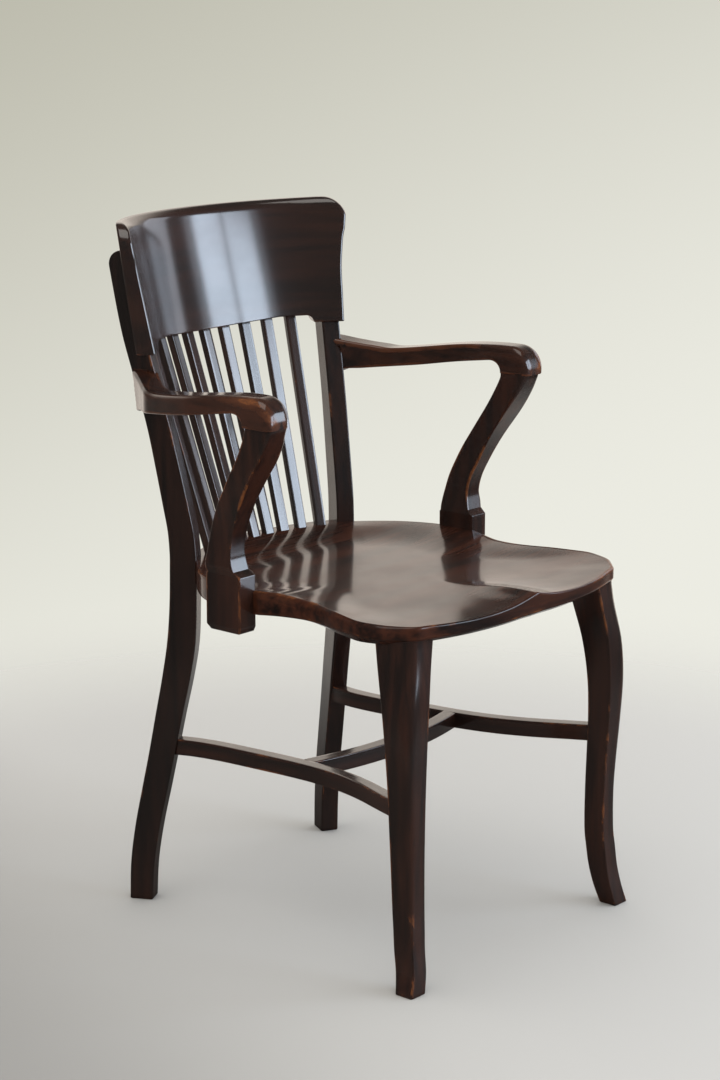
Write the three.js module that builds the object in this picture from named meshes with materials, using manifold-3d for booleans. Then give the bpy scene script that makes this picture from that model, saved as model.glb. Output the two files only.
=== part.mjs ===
// A captain's chair in dark polished hardwood, in millimetres, +Z up, facing -Y.
// Left and right are the sitter's: left is +X. The chair is symmetric about X = 0.
// It is drawn around a datum on the floor and moved at the end, so that the origin
// lies on the floor under the middle of its own bounding box.

import * as THREE from 'three';
import { mergeVertices, toCreasedNormals } from 'three/addons/utils/BufferGeometryUtils.js';
import Module from 'manifold-3d';

const wasm = await Module();
wasm.setup();

// Driving dimensions

const clearance = 0.3; // between a piece and the piece that is cut to fit it
const overrun = 5; // how far a cutter or a trimmed end runs past the surface it meets
const softened = 1.6; // radius on the arrises of sawn and planed pieces

const seat = {
  top: 452, // the flat rim beside the arm supports, above the floor
  thickness: 29,
  front: 245, // furthest forward, ahead of the datum
  length: 482, // to the middle of the back edge
  halfWidth: 229, // at the front corners
  frontDrop: 8.4, // how far the front edge lies below the rim
  bevelHeight: 9.5, // of the bevel under the front and the corners
  bevelWidth: 12,
  backRadius: 291, // of the back edge in plan
  postCorner: 137, // the back edge meets the post this far from the centre line
  dishDepth: 10,
  rimWidth: 25,
  rimFall: 27, // width of the slope from the rim into the dish
  pommel: 11, // rise of the ridge between the thighs at the front edge
  pommelLength: 175,
  pommelWidth: 38, // half width of the ridge
  edgeRound: 2.4,
};

const post = {
  belowRail: 33, // top of the post below the top of the crest rail
  thickness: 24,
  depth: 34.5, // at the seat
  footSplay: 61, // backward sweep at the floor
  topLean: 79, // backward lean at the top
  side: 148.3, // middle of the post at seat height, from the centre line
  back: 197.5, // and behind the datum
  turn: THREE.MathUtils.degToRad(28), // about the vertical, so that its face looks inward
  topRound: 20,
};

const frontLeg = {
  side: 202.5, // outer face at the ankle, from the centre line
  front: 219, // front face at the ankle, ahead of the datum
  sway: 13, // how far the S-curve swings along each axis
  topWidth: 46, // across the chair
  topDepth: 50, // front to back
  topRound: 27, // radius of the outer front corner under the seat
  tenonRadius: 11,
  tenonLength: 9,
};

const rail = {
  radius: 258, // of the hollow front face in plan
  aheadOfPost: 25.7, // face ahead of the middle of the post, at the lower edge
  bottom: 711,
  top: 871,
  lean: 44, // how far the face leans back over its height
  thickness: 24, // at the lower edge
  topThickness: 15,
  topRound: 10.5, // height of the rounding of the front upper edge
  topRoundDepth: 9,
  topSag: 3.4, // the upper edge lies this much lower in the middle
  topSagReach: 190,
  wingReach: 33.6, // along the curve of the face, from the middle of the post to the wing
  earWidth: 40, // lower end that covers the post
  archRise: 9, // the lower edge beside the ears lies this much higher
  archSag: 4.5, // and hangs down by this much in the middle
  archSagReach: 107, // the sag runs out this far from the middle
  archRound: 9,
  wingRound: 24,
  endRound: 3.5,
};

const slat = {
  count: 9,
  width: 14,
  thickness: 9.5,
  seatSpread: 104.5, // outermost slat from the middle, along the curve at the seat
  railSpread: 126.5, // and along the curve at the crest rail
  setback: 13, // front of a slat behind the face of the rail
  seatFront: 211.5, // front of the middle slat behind the datum, at the seat
  seatRadius: 268,
  tenonLength: 11,
  tenonShoulder: 2.2,
};

const support = {
  bottom: 402,
  blockTop: 472,
  blockFront: 21.5, // behind the datum
  blockDepth: 55.5,
  blockInside: 206.5, // inner face, housed in the edge of the seat
  blockOutside: 235,
  topInside: 221.5,
  topOutside: 257.7,
  frontReach: 68, // how far the front edge comes forward to the elbow
  backReach: 86.5, // and the back edge
  footChamfer: 6,
};

const arm = {
  length: 313, // from the nose of the elbow to the end of the blank
  nose: 51, // ahead of the datum
  noseRound: 28,
  noseSideRound: 7,
  elbowOutside: 262,
  elbowInside: 222,
  rearOutside: 190, // outer face at the back edge of the post
  rearInside: 172, // inner face where it meets the post
  top: 697.5, // highest point, at the elbow
  fall: 20, // how much lower the arm is in front of the post
  elbowDepth: 36.5, // from the top down to the joint with the support
  depth: 20.5, // and down to the underside just behind the support
  undersideFall: 37, // from there down to the lap on the post
  dowelDrop: 33.5, // of the dowel in the post below the top
  filletWidth: 20, // from the back of the support into the underside
  elbowRound: 12, // outer upper edge at the elbow
  outerRound: 8, // and behind it
  innerRound: 4,
};

const stretcher = {
  width: 17.5,
  height: 20.5,
  rearTop: 217.5, // upper face at the rear post
  frontTop: 234.5, // and at the front leg
  waist: 142.5, // middle of the side stretcher at its waist, from the centre line
  tenonLength: 12,
  tenonShoulder: 3,
};

const crossStretcher = {
  width: 18.5,
  height: 19.5,
  bow: 19, // forward, over its length
  back: 0, // middle of its ends behind the datum
  tenonLength: 9,
};

const dowel = { radius: 3.5, length: 22 };
const screw = { headRadius: 4, headDepth: 3.2, shankRadius: 2.2, length: 50 };
const plug = { radius: 5, depth: 5 };

const crestDowelShares = [0.194, 0.525]; // of the height of the crest rail
const postScrewSpread = 6.5; // above and below the middle of the seat's edge
const supportDowelSpread = 14; // ahead of and behind the middle of the block

const wood = { color: 0x3a1610, roughness: 0.32, metalness: 0 };
const dowelWood = { color: 0xb58a5a, roughness: 0.7, metalness: 0 };
const steel = { color: 0x8a8d90, roughness: 0.4, metalness: 1 };

// Numbers and curves

const mix = THREE.MathUtils.lerp;
const steps = (count, make) => Array.from({ length: count }, (unused, i) => make(i));
const spread = (from, to, count) => steps(count + 1, (i) => mix(from, to, i / count));
const vector = (x, y, z) => new THREE.Vector3(x, y, z);

// How far a rounded corner has drawn in at a depth below its tip.
function roundInset(radius, depth) {
  const rest = Math.max(radius - Math.max(depth, 0), 0);
  return radius - Math.sqrt(radius ** 2 - rest ** 2);
}

// A smooth curve through [place, value] pairs, flat beyond its ends.
function curveThrough(pairs) {
  const last = pairs.length - 1;
  const slopeAt = (i) => {
    const [x0, y0] = pairs[Math.max(i - 1, 0)];
    const [x1, y1] = pairs[Math.min(i + 1, last)];
    return (y1 - y0) / (x1 - x0);
  };
  return (place) => {
    const x = THREE.MathUtils.clamp(place, pairs[0][0], pairs[last][0]);
    const i = Math.max(pairs.findIndex((pair) => pair[0] >= x) - 1, 0);
    const [x0, y0] = pairs[i];
    const [x1, y1] = pairs[i + 1];
    const span = x1 - x0;
    const t = (x - x0) / span;
    const leave = t * (1 - t) ** 2 * span * slopeAt(i);
    const arrive = t * t * (t - 1) * span * slopeAt(i + 1);
    return mix(y0, y1, t * t * (3 - 2 * t)) + leave + arrive;
  };
}

// Solids

// Drops collapsed triangles and turns the faces outward.
function closed(geometry) {
  const { position } = geometry.attributes;
  const corners = [vector(0, 0, 0), vector(0, 0, 0), vector(0, 0, 0)];
  const kept = [];
  let volume = 0;
  for (let i = 0; i < geometry.index.count; i += 3) {
    const triangle = corners.map((corner, k) => geometry.index.getX(i + k));
    if (new Set(triangle).size === 3) {
      triangle.forEach((vertex, k) => corners[k].fromBufferAttribute(position, vertex));
      volume += corners[0].dot(corners[1].clone().cross(corners[2]));
      kept.push(triangle);
    }
  }
  const facing = volume < 0 ? kept.map(([a, b, c]) => [a, c, b]) : kept;
  geometry.setIndex(facing.flat());
  return geometry;
}

function solid(geometry) {
  const body = closed(geometry);
  return new wasm.Manifold(new wasm.Mesh({
    numProp: 3,
    vertProperties: new Float32Array(body.attributes.position.array),
    triVerts: new Uint32Array(body.index.array),
  }));
}

// Triangulates a flat ring, counter-clockwise about the ring's own normal.
function capTriangles(ring) {
  const middle = ring.reduce((sum, point) => sum.add(point), vector(0, 0, 0)).divideScalar(ring.length);
  const arms = ring.map((point) => point.clone().sub(middle));
  const normal = arms.reduce(
    (sum, point, i) => sum.add(point.clone().cross(arms[(i + 1) % arms.length])),
    vector(0, 0, 0),
  ).normalize();
  const across = arms[0].clone().addScaledVector(normal, -arms[0].dot(normal)).normalize();
  const up = normal.clone().cross(across);
  const flat = arms.map((point) => new THREE.Vector2(point.dot(across), point.dot(up)));
  return THREE.ShapeUtils.triangulateShape(flat, []);
}

// Joins rings of equal count into one closed body with flat ends.
function loft(rings) {
  const count = rings[0].length;
  const positions = rings.flat().flatMap((point) => [point.x, point.y, point.z]);
  const index = [];
  for (let r = 0; r < rings.length - 1; r++) {
    for (let i = 0; i < count; i++) {
      const a = r * count + i;
      const b = r * count + ((i + 1) % count);
      index.push(a, b, b + count, a, b + count, a + count);
    }
  }
  const start = (rings.length - 1) * count;
  index.push(...capTriangles(rings[0]).flatMap(([a, b, c]) => [a, c, b]));
  index.push(...capTriangles(rings[rings.length - 1]).flat().map((vertex) => start + vertex));
  const geometry = new THREE.BufferGeometry();
  geometry.setAttribute('position', new THREE.Float32BufferAttribute(positions, 3));
  geometry.setIndex(index);
  return solid(geometry);
}

// Turns a profile of [radius, distance] pairs about the line from a point along a direction.
function turned(profile, from, direction, sides = 12) {
  const lathe = new THREE.LatheGeometry(profile.map(([x, y]) => new THREE.Vector2(x, y)), sides);
  lathe.deleteAttribute('normal');
  lathe.deleteAttribute('uv');
  const axis = direction.clone().normalize();
  lathe.applyQuaternion(new THREE.Quaternion().setFromUnitVectors(vector(0, 1, 0), axis));
  lathe.translate(from.x, from.y, from.z);
  return solid(mergeVertices(lathe));
}

const cut = (body, cutters) => cutters.reduce((rest, cutter) => rest.subtract(cutter), body);
const join = (body, additions) => additions.reduce((sum, addition) => sum.add(addition), body);

function geometryOf(body) {
  const mesh = body.getMesh();
  const geometry = new THREE.BufferGeometry();
  geometry.setAttribute('position', new THREE.Float32BufferAttribute(mesh.vertProperties, 3));
  geometry.setIndex(new THREE.Uint32BufferAttribute(mesh.triVerts, 1));
  return geometry;
}

// A rounded rectangle, counter-clockwise from its lower left corner, with a radius
// and a number of facets for the lower left, lower right, upper right and upper left.
function roundedRectangle(left, right, low, high, radii, cornerSteps) {
  const roomShare = 0.98;
  const room = roomShare * Math.min(right - left, high - low);
  const corners = [
    [left, low, 1, 1, -Math.PI],
    [right, low, -1, 1, -Math.PI / 2],
    [right, high, -1, -1, 0],
    [left, high, 1, -1, Math.PI / 2],
  ];
  return corners.flatMap(([x, y, inwardX, inwardY, start], k) => {
    if (radii[k] === 0) return [new THREE.Vector2(x, y)];
    const beside = Math.max(radii[(k + 1) % 4], radii[(k + 3) % 4]);
    const radius = Math.min(radii[k], (room * radii[k]) / (radii[k] + beside));
    return spread(start, start + Math.PI / 2, cornerSteps[k]).map((angle) => new THREE.Vector2(
      x + radius * (inwardX + Math.cos(angle)),
      y + radius * (inwardY + Math.sin(angle)),
    ));
  });
}

const four = (value) => steps(4, () => value);
const square = [0, 0, 0, 0];

// Lofts a rounded rectangle along a path given over the share of its length.
function bar(pathAt, from, to, count, width, height, round) {
  const outline = roundedRectangle(-width / 2, width / 2, -height / 2, height / 2, four(round), four(1));
  const stepShare = 0.001;
  const rings = spread(from, to, count).map((share) => {
    const middle = pathAt(share);
    const ahead = pathAt(share + stepShare).sub(pathAt(share - stepShare)).setZ(0).normalize();
    const side = ahead.cross(vector(0, 0, 1));
    return outline.map((point) => middle.clone().addScaledVector(side, point.x).setZ(middle.z + point.y));
  });
  return loft(rings);
}

// A path over shares 0 to 1 that runs on straight past both ends.
function runOn(pathAt) {
  const stepShare = 0.002;
  return (share) => {
    const inside = THREE.MathUtils.clamp(share, stepShare, 1 - stepShare);
    const slope = pathAt(inside + stepShare / 2).sub(pathAt(inside - stepShare / 2)).divideScalar(stepShare);
    return share === inside ? pathAt(share) : pathAt(inside).addScaledVector(slope, share - inside);
  };
}

// Rear posts: each is sawn from one board, sabre leg below, raked back above

const postSplayShares = [
  [0, 1], [0.11, 0.96], [0.22, 0.84], [0.33, 0.67], [0.44, 0.5], [0.555, 0.33], [0.66, 0.17], [0.765, 0.045],
  [0.88, -0.005], [1, -0.02],
];
const postLeanShares = [
  [0, -0.02], [0.09, 0.013], [0.176, 0.09], [0.306, 0.216], [0.435, 0.35], [0.6, 0.56], [0.746, 0.747], [1, 0.987],
];
const postDepthShares = [
  [0, 0.87], [0.06, 0.907], [0.12, 0.945], [0.18, 0.974], [0.24, 0.985], [0.3, 1.02], [0.36, 1.064], [0.41, 1.072],
  [0.47, 1.02], [0.54, 1], [0.62, 0.962], [0.74, 0.87], [0.88, 0.84], [1, 0.74],
];
const postStationShares = [
  0, 0.06, 0.13, 0.2, 0.27, 0.33, 0.38, 0.42, 0.46, 0.5, 0.54, 0.58, 0.63, 0.69, 0.76, 0.84, 0.92,
];
const splayShareAt = curveThrough(postSplayShares);
const leanShareAt = curveThrough(postLeanShares);
const postDepthShareAt = curveThrough(postDepthShares);
const postHeight = rail.top - post.belowRail;
const supportTop = arm.top - arm.elbowDepth;
const armUnderside = arm.top - arm.depth;

// Backward offset of the middle of the post at a height, in the plane of its board.
function postSweepAt(height) {
  if (height < seat.top) return post.footSplay * splayShareAt(height / seat.top);
  return post.topLean * leanShareAt((height - seat.top) / (postHeight - seat.top));
}

const postDepthAt = (height) => post.depth * postDepthShareAt(height / postHeight);
const postFrontAt = (height) => postSweepAt(height) - postDepthAt(height) / 2;
const postBackAt = (height) => postSweepAt(height) + postDepthAt(height) / 2;
const acrossPost = vector(Math.cos(post.turn), -Math.sin(post.turn), 0);
const alongPost = vector(Math.sin(post.turn), Math.cos(post.turn), 0);

// Takes a place on the left post, across and along its board, into the chair.
function onPost(across, along, height) {
  const middle = vector(post.side, post.back, height);
  return middle.addScaledVector(acrossPost, across).addScaledVector(alongPost, along);
}

function postRing(height, grow, backInset) {
  const half = post.thickness / 2 + grow;
  const front = postFrontAt(height) - grow;
  const back = postBackAt(height) + grow - backInset;
  const outline = roundedRectangle(-half, half, front, back, four(softened), four(1));
  return outline.map((point) => onPost(point.x, point.y, height));
}

function postBlank(grow = 0) {
  const rings = postStationShares.map((share) => postRing(share * postHeight, grow, 0));
  const topRings = spread(0, Math.PI / 2, 4).map((angle) => {
    const height = postHeight - post.topRound * (1 - Math.sin(angle));
    return postRing(height, grow, post.topRound * (1 - Math.cos(angle)));
  });
  return loft([...rings, ...topRings]);
}

// Everything from one side of the post's face to another, as a cutter for the arm.
function postSlab(left, right, frontAt, backAt) {
  const rings = spread(armUnderside - 2 * arm.undersideFall, arm.top + arm.fall, 8).map((height) => {
    const outline = roundedRectangle(left, right, frontAt(height), backAt(height), square, square);
    return outline.map((point) => onPost(point.x, point.y, height));
  });
  return loft(rings);
}

function rearPost() {
  return cut(postBlank(), [
    railBody(clearance, post.depth),
    sideTenon(rearTenonShares(), clearance),
    ...crestDowels(clearance),
    ...postScrews().map((set) => set.bore),
    armEndDowel(clearance),
  ]);
}

// Front legs: square in section, swelling at the knee and kicking out at the foot

const seatUnderside = seat.top - seat.thickness;
const legOutsideShares = [
  [0, 1.04], [0.06, 0.46], [0.118, 0.17], [0.176, 0.02], [0.235, 0], [0.353, 0.19], [0.47, 0.46], [0.588, 0.75],
  [0.706, 0.95], [0.824, 0.87], [0.93, 0.6], [1, 0.35],
];
const legFrontShares = [
  [0, 0.96], [0.06, 0.67], [0.118, 0.35], [0.176, 0.18], [0.235, 0.02], [0.353, 0], [0.47, 0.12], [0.588, 0.28],
  [0.706, 0.4], [0.824, 0.34], [0.93, 0], [1, -0.23],
];
const legWidthShares = [
  [0, 0.554], [0.06, 0.533], [0.118, 0.511], [0.176, 0.513], [0.235, 0.548], [0.353, 0.6], [0.47, 0.648],
  [0.588, 0.704], [0.706, 0.767], [0.824, 0.83], [0.93, 0.93], [1, 1],
];
const legDepthShares = [
  [0, 0.51], [0.06, 0.56], [0.118, 0.594], [0.176, 0.61], [0.235, 0.607], [0.353, 0.61], [0.47, 0.634],
  [0.588, 0.668], [0.706, 0.74], [0.824, 0.85], [0.93, 0.94], [1, 1],
];
const legRoundShares = [
  [0, 0.08], [0.18, 0.08], [0.25, 0.22], [0.4, 0.42], [0.7, 0.44], [0.82, 0.6], [0.94, 1], [1, 1],
];
const legStationShares = [
  0, 0.03, 0.07, 0.12, 0.18, 0.24, 0.31, 0.39, 0.48, 0.57, 0.66, 0.74, 0.81, 0.88, 0.94, 1, 1.04,
];
const legOutsideShareAt = curveThrough(legOutsideShares);
const legFrontShareAt = curveThrough(legFrontShares);
const legWidthShareAt = curveThrough(legWidthShares);
const legDepthShareAt = curveThrough(legDepthShares);
const legRoundShareAt = curveThrough(legRoundShares);

// The four faces of the left front leg at a height.
function legFacesAt(height) {
  const share = height / seatUnderside;
  const right = frontLeg.side + frontLeg.sway * legOutsideShareAt(share);
  const low = -frontLeg.front - frontLeg.sway * legFrontShareAt(share);
  const left = right - frontLeg.topWidth * legWidthShareAt(share);
  const high = low + frontLeg.topDepth * legDepthShareAt(share);
  return { left, right, low, high };
}

function legBlank(grow = 0) {
  return loft(legStationShares.map((share) => {
    const height = share * seatUnderside;
    const { left, right, low, high } = legFacesAt(height);
    const radii = [softened, frontLeg.topRound * legRoundShareAt(share), softened, softened];
    const outline = roundedRectangle(left - grow, right + grow, low - grow, high + grow, radii, [1, 4, 1, 1]);
    return outline.map((point) => vector(point.x, point.y, height));
  }));
}

function legTenon(grow = 0) {
  const { left, right, low, high } = legFacesAt(seatUnderside);
  const start = vector((left + right) / 2, (low + high) / 2, seatUnderside - overrun);
  const radius = frontLeg.tenonRadius + grow;
  const length = overrun + frontLeg.tenonLength + grow;
  return turned([[0, 0], [radius, 0], [radius, length], [0, length]], start, vector(0, 0, 1), 20);
}

// Everything above the underside and the bevel of the seat, as a cutter for the leg.
function seatRoom() {
  const low = seatUnderside - clearance;
  return loft([
    seatRing(seat.bevelWidth, () => low),
    seatRing(0, (height, bevel) => low + bevel - clearance / 2),
    seatRing(-seat.bevelWidth, (height, bevel) => low + bevel - clearance / 2),
    seatRing(-seat.bevelWidth, () => seat.top),
  ]);
}

function frontLegPiece() {
  const trimmed = cut(legBlank(), [seatRoom(), sideTenon(frontTenonShares(), clearance)]);
  return join(trimmed, [legTenon()]);
}

// Crest rail: a thick board curved in plan, with winged ends and ears over the posts

// Against the share of the height: half the length, as a share of that at the wings.
const railEndShares = [
  [0, 0.868], [0.04, 0.872], [0.22, 0.893], [0.43, 0.917], [0.58, 0.943], [0.69, 0.965], [0.82, 1], [1, 1],
];
const railLevelShares = [0, 0.012, 0.15, 0.3, 0.43, 0.54, 0.64, 0.73, 0.8];
const railEndShareAt = curveThrough(railEndShares);
const railArcSteps = 14;

// The curve of the face passes each post at this angle from its middle.
const postAtRail = onPost(0, postSweepAt(rail.bottom), 0);
const railAngle = Math.asin(postAtRail.x / rail.radius);
const railFaceBack = postAtRail.y - rail.aheadOfPost + rail.radius * (1 - Math.cos(railAngle));
const railHalfLength = rail.radius * railAngle + rail.wingReach;

const railShareAt = (height) => (height - rail.bottom) / (rail.top - rail.bottom);
const railFaceAt = (height) => railFaceBack + rail.lean * railShareAt(height);
const earInside = railHalfLength * railEndShareAt(0) - rail.earWidth; // along the face

// A place on the rail: along the curve of its face, behind the face, and up.
function onRail(along, depth, height) {
  const angle = along / rail.radius;
  const radius = rail.radius + depth;
  return vector(radius * Math.sin(angle), railFaceAt(height) - rail.radius + radius * Math.cos(angle), height);
}

const railThicknessAt = (height) => mix(rail.thickness, rail.topThickness, railShareAt(height));

// Height of the lower edge, which sags between the ears.
function railUnderAt(along) {
  const outward = Math.min(Math.abs(along) / rail.archSagReach, 1);
  return rail.bottom + rail.archRise - rail.archSag * (1 - outward ** 2);
}

// Bends an outline of (along, other) points onto the rail, with points added on its long sides.
function bendOntoRail(outline, place) {
  const reach = Math.max(...outline.map((point) => point.x));
  return outline.flatMap((point, i) => {
    const next = outline[(i + 1) % outline.length];
    const pieces = Math.abs(next.x - point.x) > reach ? railArcSteps : 1;
    return steps(pieces, (k) => {
      const between = point.clone().lerp(next, k / pieces);
      return place(between.x, between.y);
    });
  });
}

function railBody(grow = 0, frontReach = 0) {
  const wingHeights = spread(0, Math.PI / 2, 7).map((angle) => rail.top - rail.wingRound * (1 - Math.sin(angle)));
  const heights = [...railLevelShares.map((share) => mix(rail.bottom, rail.top, share)), ...wingHeights];
  return loft(heights.map((height, i) => {
    const share = railShareAt(height);
    const below = rail.top - height;
    const foot = roundInset(softened, height - rail.bottom);
    const end = railHalfLength * railEndShareAt(share) - roundInset(rail.wingRound, below) + grow;
    const rounding = (rail.topRoundDepth / rail.topRound) * roundInset(rail.topRound, below);
    const front = rounding + foot - grow - frontReach;
    const back = railThicknessAt(height) - roundInset(softened, below) - foot + grow;
    const outline = roundedRectangle(-end, end, front, back, four(rail.endRound), four(2));
    const level = height + (i === 0 ? -grow : 0) + (i === heights.length - 1 ? grow : 0);
    const sag = rail.topSag * THREE.MathUtils.smoothstep(share, 1 / 2, 1);
    return bendOntoRail(outline, (along, depth) => {
      const outward = Math.min(Math.abs(along) / rail.topSagReach, 1);
      return onRail(along, depth, level - sag * (1 - outward ** 2));
    });
  }));
}

// A cutter through the rail from ear to ear, between two heights.
function betweenEars(lowAt, highAt) {
  const flat = earInside - rail.archRound;
  const cove = spread(0, Math.PI / 2, 4).map((angle) => flat + rail.archRound * Math.cos(angle));
  const half = [...cove, ...spread(flat, 0, railArcSteps / 2).slice(1)];
  const alongs = [...half, ...half.slice(0, -1).map((along) => -along).reverse()];
  return loft(alongs.map((along) => [
    onRail(along, -rail.thickness, lowAt(along)),
    onRail(along, 2 * rail.thickness, lowAt(along)),
    onRail(along, 2 * rail.thickness, highAt(along)),
    onRail(along, -rail.thickness, highAt(along)),
  ]));
}

// Clears the lower edge between the ears, with a cove at each end.
function railArch() {
  const coveAt = (along) => roundInset(rail.archRound, earInside - Math.abs(along));
  return betweenEars(() => rail.bottom - overrun, (along) => railUnderAt(along) - coveAt(along));
}

// Everything above the lower edge between the ears, as a cutter for the slats.
function railRoom() {
  return betweenEars((along) => railUnderAt(along) - clearance, () => rail.top);
}

function crestRail() {
  return cut(railBody(), [
    railArch(),
    ...slatPlaces().map((place) => slatTenon(place, clearance)),
    ...crestDowels(clearance),
    ...crestDowels(clearance).map(mirroredSolid),
  ]);
}

// Slats: straight bars fanned between the seat and the crest rail

// Places of the slats from side to side, as shares from -1 to 1.
const slatPlaces = () => steps(slat.count, (i) => (2 * i) / (slat.count - 1) - 1);

// Against the share of the way out to the outermost slat: the share along the seat.
const slatSeatShares = [[0, 0], [0.25, 0.234], [0.5, 0.469], [0.75, 0.727], [1, 1]];
const slatSeatShareAt = curveThrough(slatSeatShares);
const slatSeatAngle = (place) => (
  (Math.sign(place) * slat.seatSpread * slatSeatShareAt(Math.abs(place))) / slat.seatRadius
);

// Middle of a slat's front face where it meets the rim of the seat.
function slatFoot(place) {
  const angle = slatSeatAngle(place);
  const y = slat.seatFront - slat.seatRadius * (1 - Math.cos(angle));
  return vector(slat.seatRadius * Math.sin(angle), y, seat.top);
}

// And where it meets the underside of the rail.
function slatHead(place) {
  const along = place * slat.railSpread;
  return onRail(along, slat.setback, railUnderAt(along));
}

// The same at a height, on the straight line between them.
function slatMiddle(place, height) {
  const foot = slatFoot(place);
  const head = slatHead(place);
  return foot.clone().lerp(head, (height - foot.z) / (head.z - foot.z));
}

function slatLength(place, low, high, inset) {
  const turn = (slatSeatAngle(place) + (place * slat.railSpread) / rail.radius) / 2;
  const across = vector(Math.cos(turn), -Math.sin(turn), 0);
  const back = vector(Math.sin(turn), Math.cos(turn), 0);
  const half = slat.width / 2 - inset;
  const outline = roundedRectangle(-half, half, inset, slat.thickness - inset, four(softened / 2), four(1));
  return loft([low, high].map((height) => outline.map((point) => (
    slatMiddle(place, height).addScaledVector(across, point.x).addScaledVector(back, point.y)
  ))));
}

function slatTenon(place, grow = 0) {
  const reach = slat.tenonLength + grow;
  return slatLength(place, slatFoot(place).z - reach, slatHead(place).z + reach, slat.tenonShoulder - grow);
}

function slatPiece(place) {
  const blank = slatLength(place, slatFoot(place).z + clearance, slatHead(place).z + overrun, 0);
  return join(cut(blank, [railRoom()]), [slatTenon(place)]);
}

// Seat: one thick board, saddled for the thighs inside a flat rim

// Half of the edge from the middle of the front to the post, as shares: across, to the
// widest point; along, from front to back; and the drop of the edge below the rim.
const seatEdgeShares = [
  [0, 0, -0.33], [0.088, 0.001, 0.19], [0.196, 0, 0.61], [0.304, 0.002, 0.85], [0.414, 0.0075, 0.99],
  [0.526, 0.016, 1], [0.655, 0.031, 0.95], [0.774, 0.049, 0.85], [0.835, 0.0585, 0.81], [0.89, 0.0805, 0.75],
  [0.956, 0.1115, 0.57], [0.988, 0.147, 0.49], [1, 0.18, 0.43], [0.978, 0.229, 0.38], [0.945, 0.2845, 0.33],
  [0.905, 0.3425, 0.33], [0.88, 0.4, 0.32], [0.881, 0.454, 0.24], [0.891, 0.493, 0.05], [0.908, 0.523, 0],
  [0.921, 0.546, 0], [0.921, 0.578, 0], [0.921, 0.67, 0], [0.907, 0.7, 0], [0.8525, 0.76, 0],
  [0.7585, 0.822, 0], [0.654, 0.873, 0],
];
// Against the share of the way from front to back: the height of the bevel under the edge.
const seatBevelShares = [
  [0, 0.76], [0.03, 0.72], [0.0585, 0.69], [0.0805, 0.74], [0.1115, 0.84], [0.147, 0.95], [0.18, 1],
  [0.229, 0.95], [0.2845, 0.8], [0.3425, 0.62], [0.4, 0.44], [0.454, 0.27], [0.493, 0.15], [0.523, 0.06],
  [0.546, 0], [1, 0],
];
const seatBevelShareAt = curveThrough(seatBevelShares);
const seatBevelAt = (y) => seat.bevelHeight * seatBevelShareAt((y + seat.front) / seat.length);
// Distances in from the edge as shares: of the rim and its slope, then of what remains.
const seatRimShares = [0.49, 0.63, 0.81, 1];
const seatMiddleShares = [0.28, 0.58, 0.92];

// The upper arris all round.
function seatEdge() {
  const side = new THREE.CatmullRomCurve3(
    seatEdgeShares.map(([across, along, drop]) => vector(
      across * seat.halfWidth,
      along * seat.length - seat.front,
      seat.top - drop * seat.frontDrop,
    )),
    false,
    'centripetal',
  ).getPoints(36);
  const backCentre = seat.length - seat.front - seat.backRadius;
  const backAngle = Math.asin(seat.postCorner / seat.backRadius);
  const back = spread(backAngle, 0, 8).map((angle) => vector(
    seat.backRadius * Math.sin(angle),
    backCentre + seat.backRadius * Math.cos(angle),
    seat.top,
  ));
  const left = [...side, ...back];
  const right = left.slice(1, -1).map((point) => vector(-point.x, point.y, point.z)).reverse();
  return [...left, ...right];
}

// Height of the saddled surface away from the rim.
function dishHeight(x, y) {
  const ahead = THREE.MathUtils.smoothstep(-y, -seat.pommelLength / 4, seat.front);
  const floor = seat.top - mix(seat.dishDepth, seat.frontDrop, ahead);
  const ridge = THREE.MathUtils.smoothstep(-y, seat.front - seat.pommelLength, seat.front);
  return floor + seat.pommel * ridge * Math.exp(-((x / seat.pommelWidth) ** 2));
}

function seatSurface(edgePoint, inset) {
  const reach = Math.hypot(edgePoint.x, edgePoint.y);
  const share = 1 - inset / reach;
  const x = edgePoint.x * share;
  const y = edgePoint.y * share;
  const intoDish = THREE.MathUtils.smoothstep(inset, seat.rimWidth, seat.rimWidth + seat.rimFall);
  return vector(x, y, mix(edgePoint.z, dishHeight(x, y), intoDish));
}

// A ring inside the edge, at a height that may depend on the surface and on the bevel there.
function seatRing(inset, heightOf) {
  return seatEdge().map((point) => {
    const surface = seatSurface(point, inset);
    return surface.setZ(heightOf(surface.z, seatBevelAt(point.y)));
  });
}

function seatBlank() {
  const round = seat.edgeRound;
  const bowl = seat.rimWidth + seat.rimFall;
  const left = 1 - softened / seat.bevelWidth;
  return loft([
    seatRing(seat.bevelWidth, () => seatUnderside),
    seatRing(softened, (height, bevel) => seatUnderside + left * bevel),
    seatRing(0, (height, bevel) => seatUnderside + bevel + softened),
    seatRing(0, (height) => height - round),
    seatRing(roundInset(round, round / 3), (height) => height - round / 3),
    seatRing(round, (height) => height),
    ...seatRimShares.map((share) => seatRing(share * bowl, (height) => height)),
    ...seatMiddleShares.map((share) => seatEdge().map((point) => (
      seatSurface(point, mix(bowl, Math.hypot(point.x, point.y), share))
    ))),
  ]);
}

function seatPiece() {
  const sided = [
    postBlank(clearance),
    supportBlank(clearance),
    legTenon(clearance),
    ...postScrews().map((set) => set.bore),
    ...supportDowels(clearance),
  ];
  return cut(seatBlank(), [
    ...sided,
    ...sided.map(mirroredSolid),
    ...slatPlaces().map((place) => slatTenon(place, clearance)),
  ]);
}

// Arm supports: an S-curve rising from a square block on the side of the seat

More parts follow.
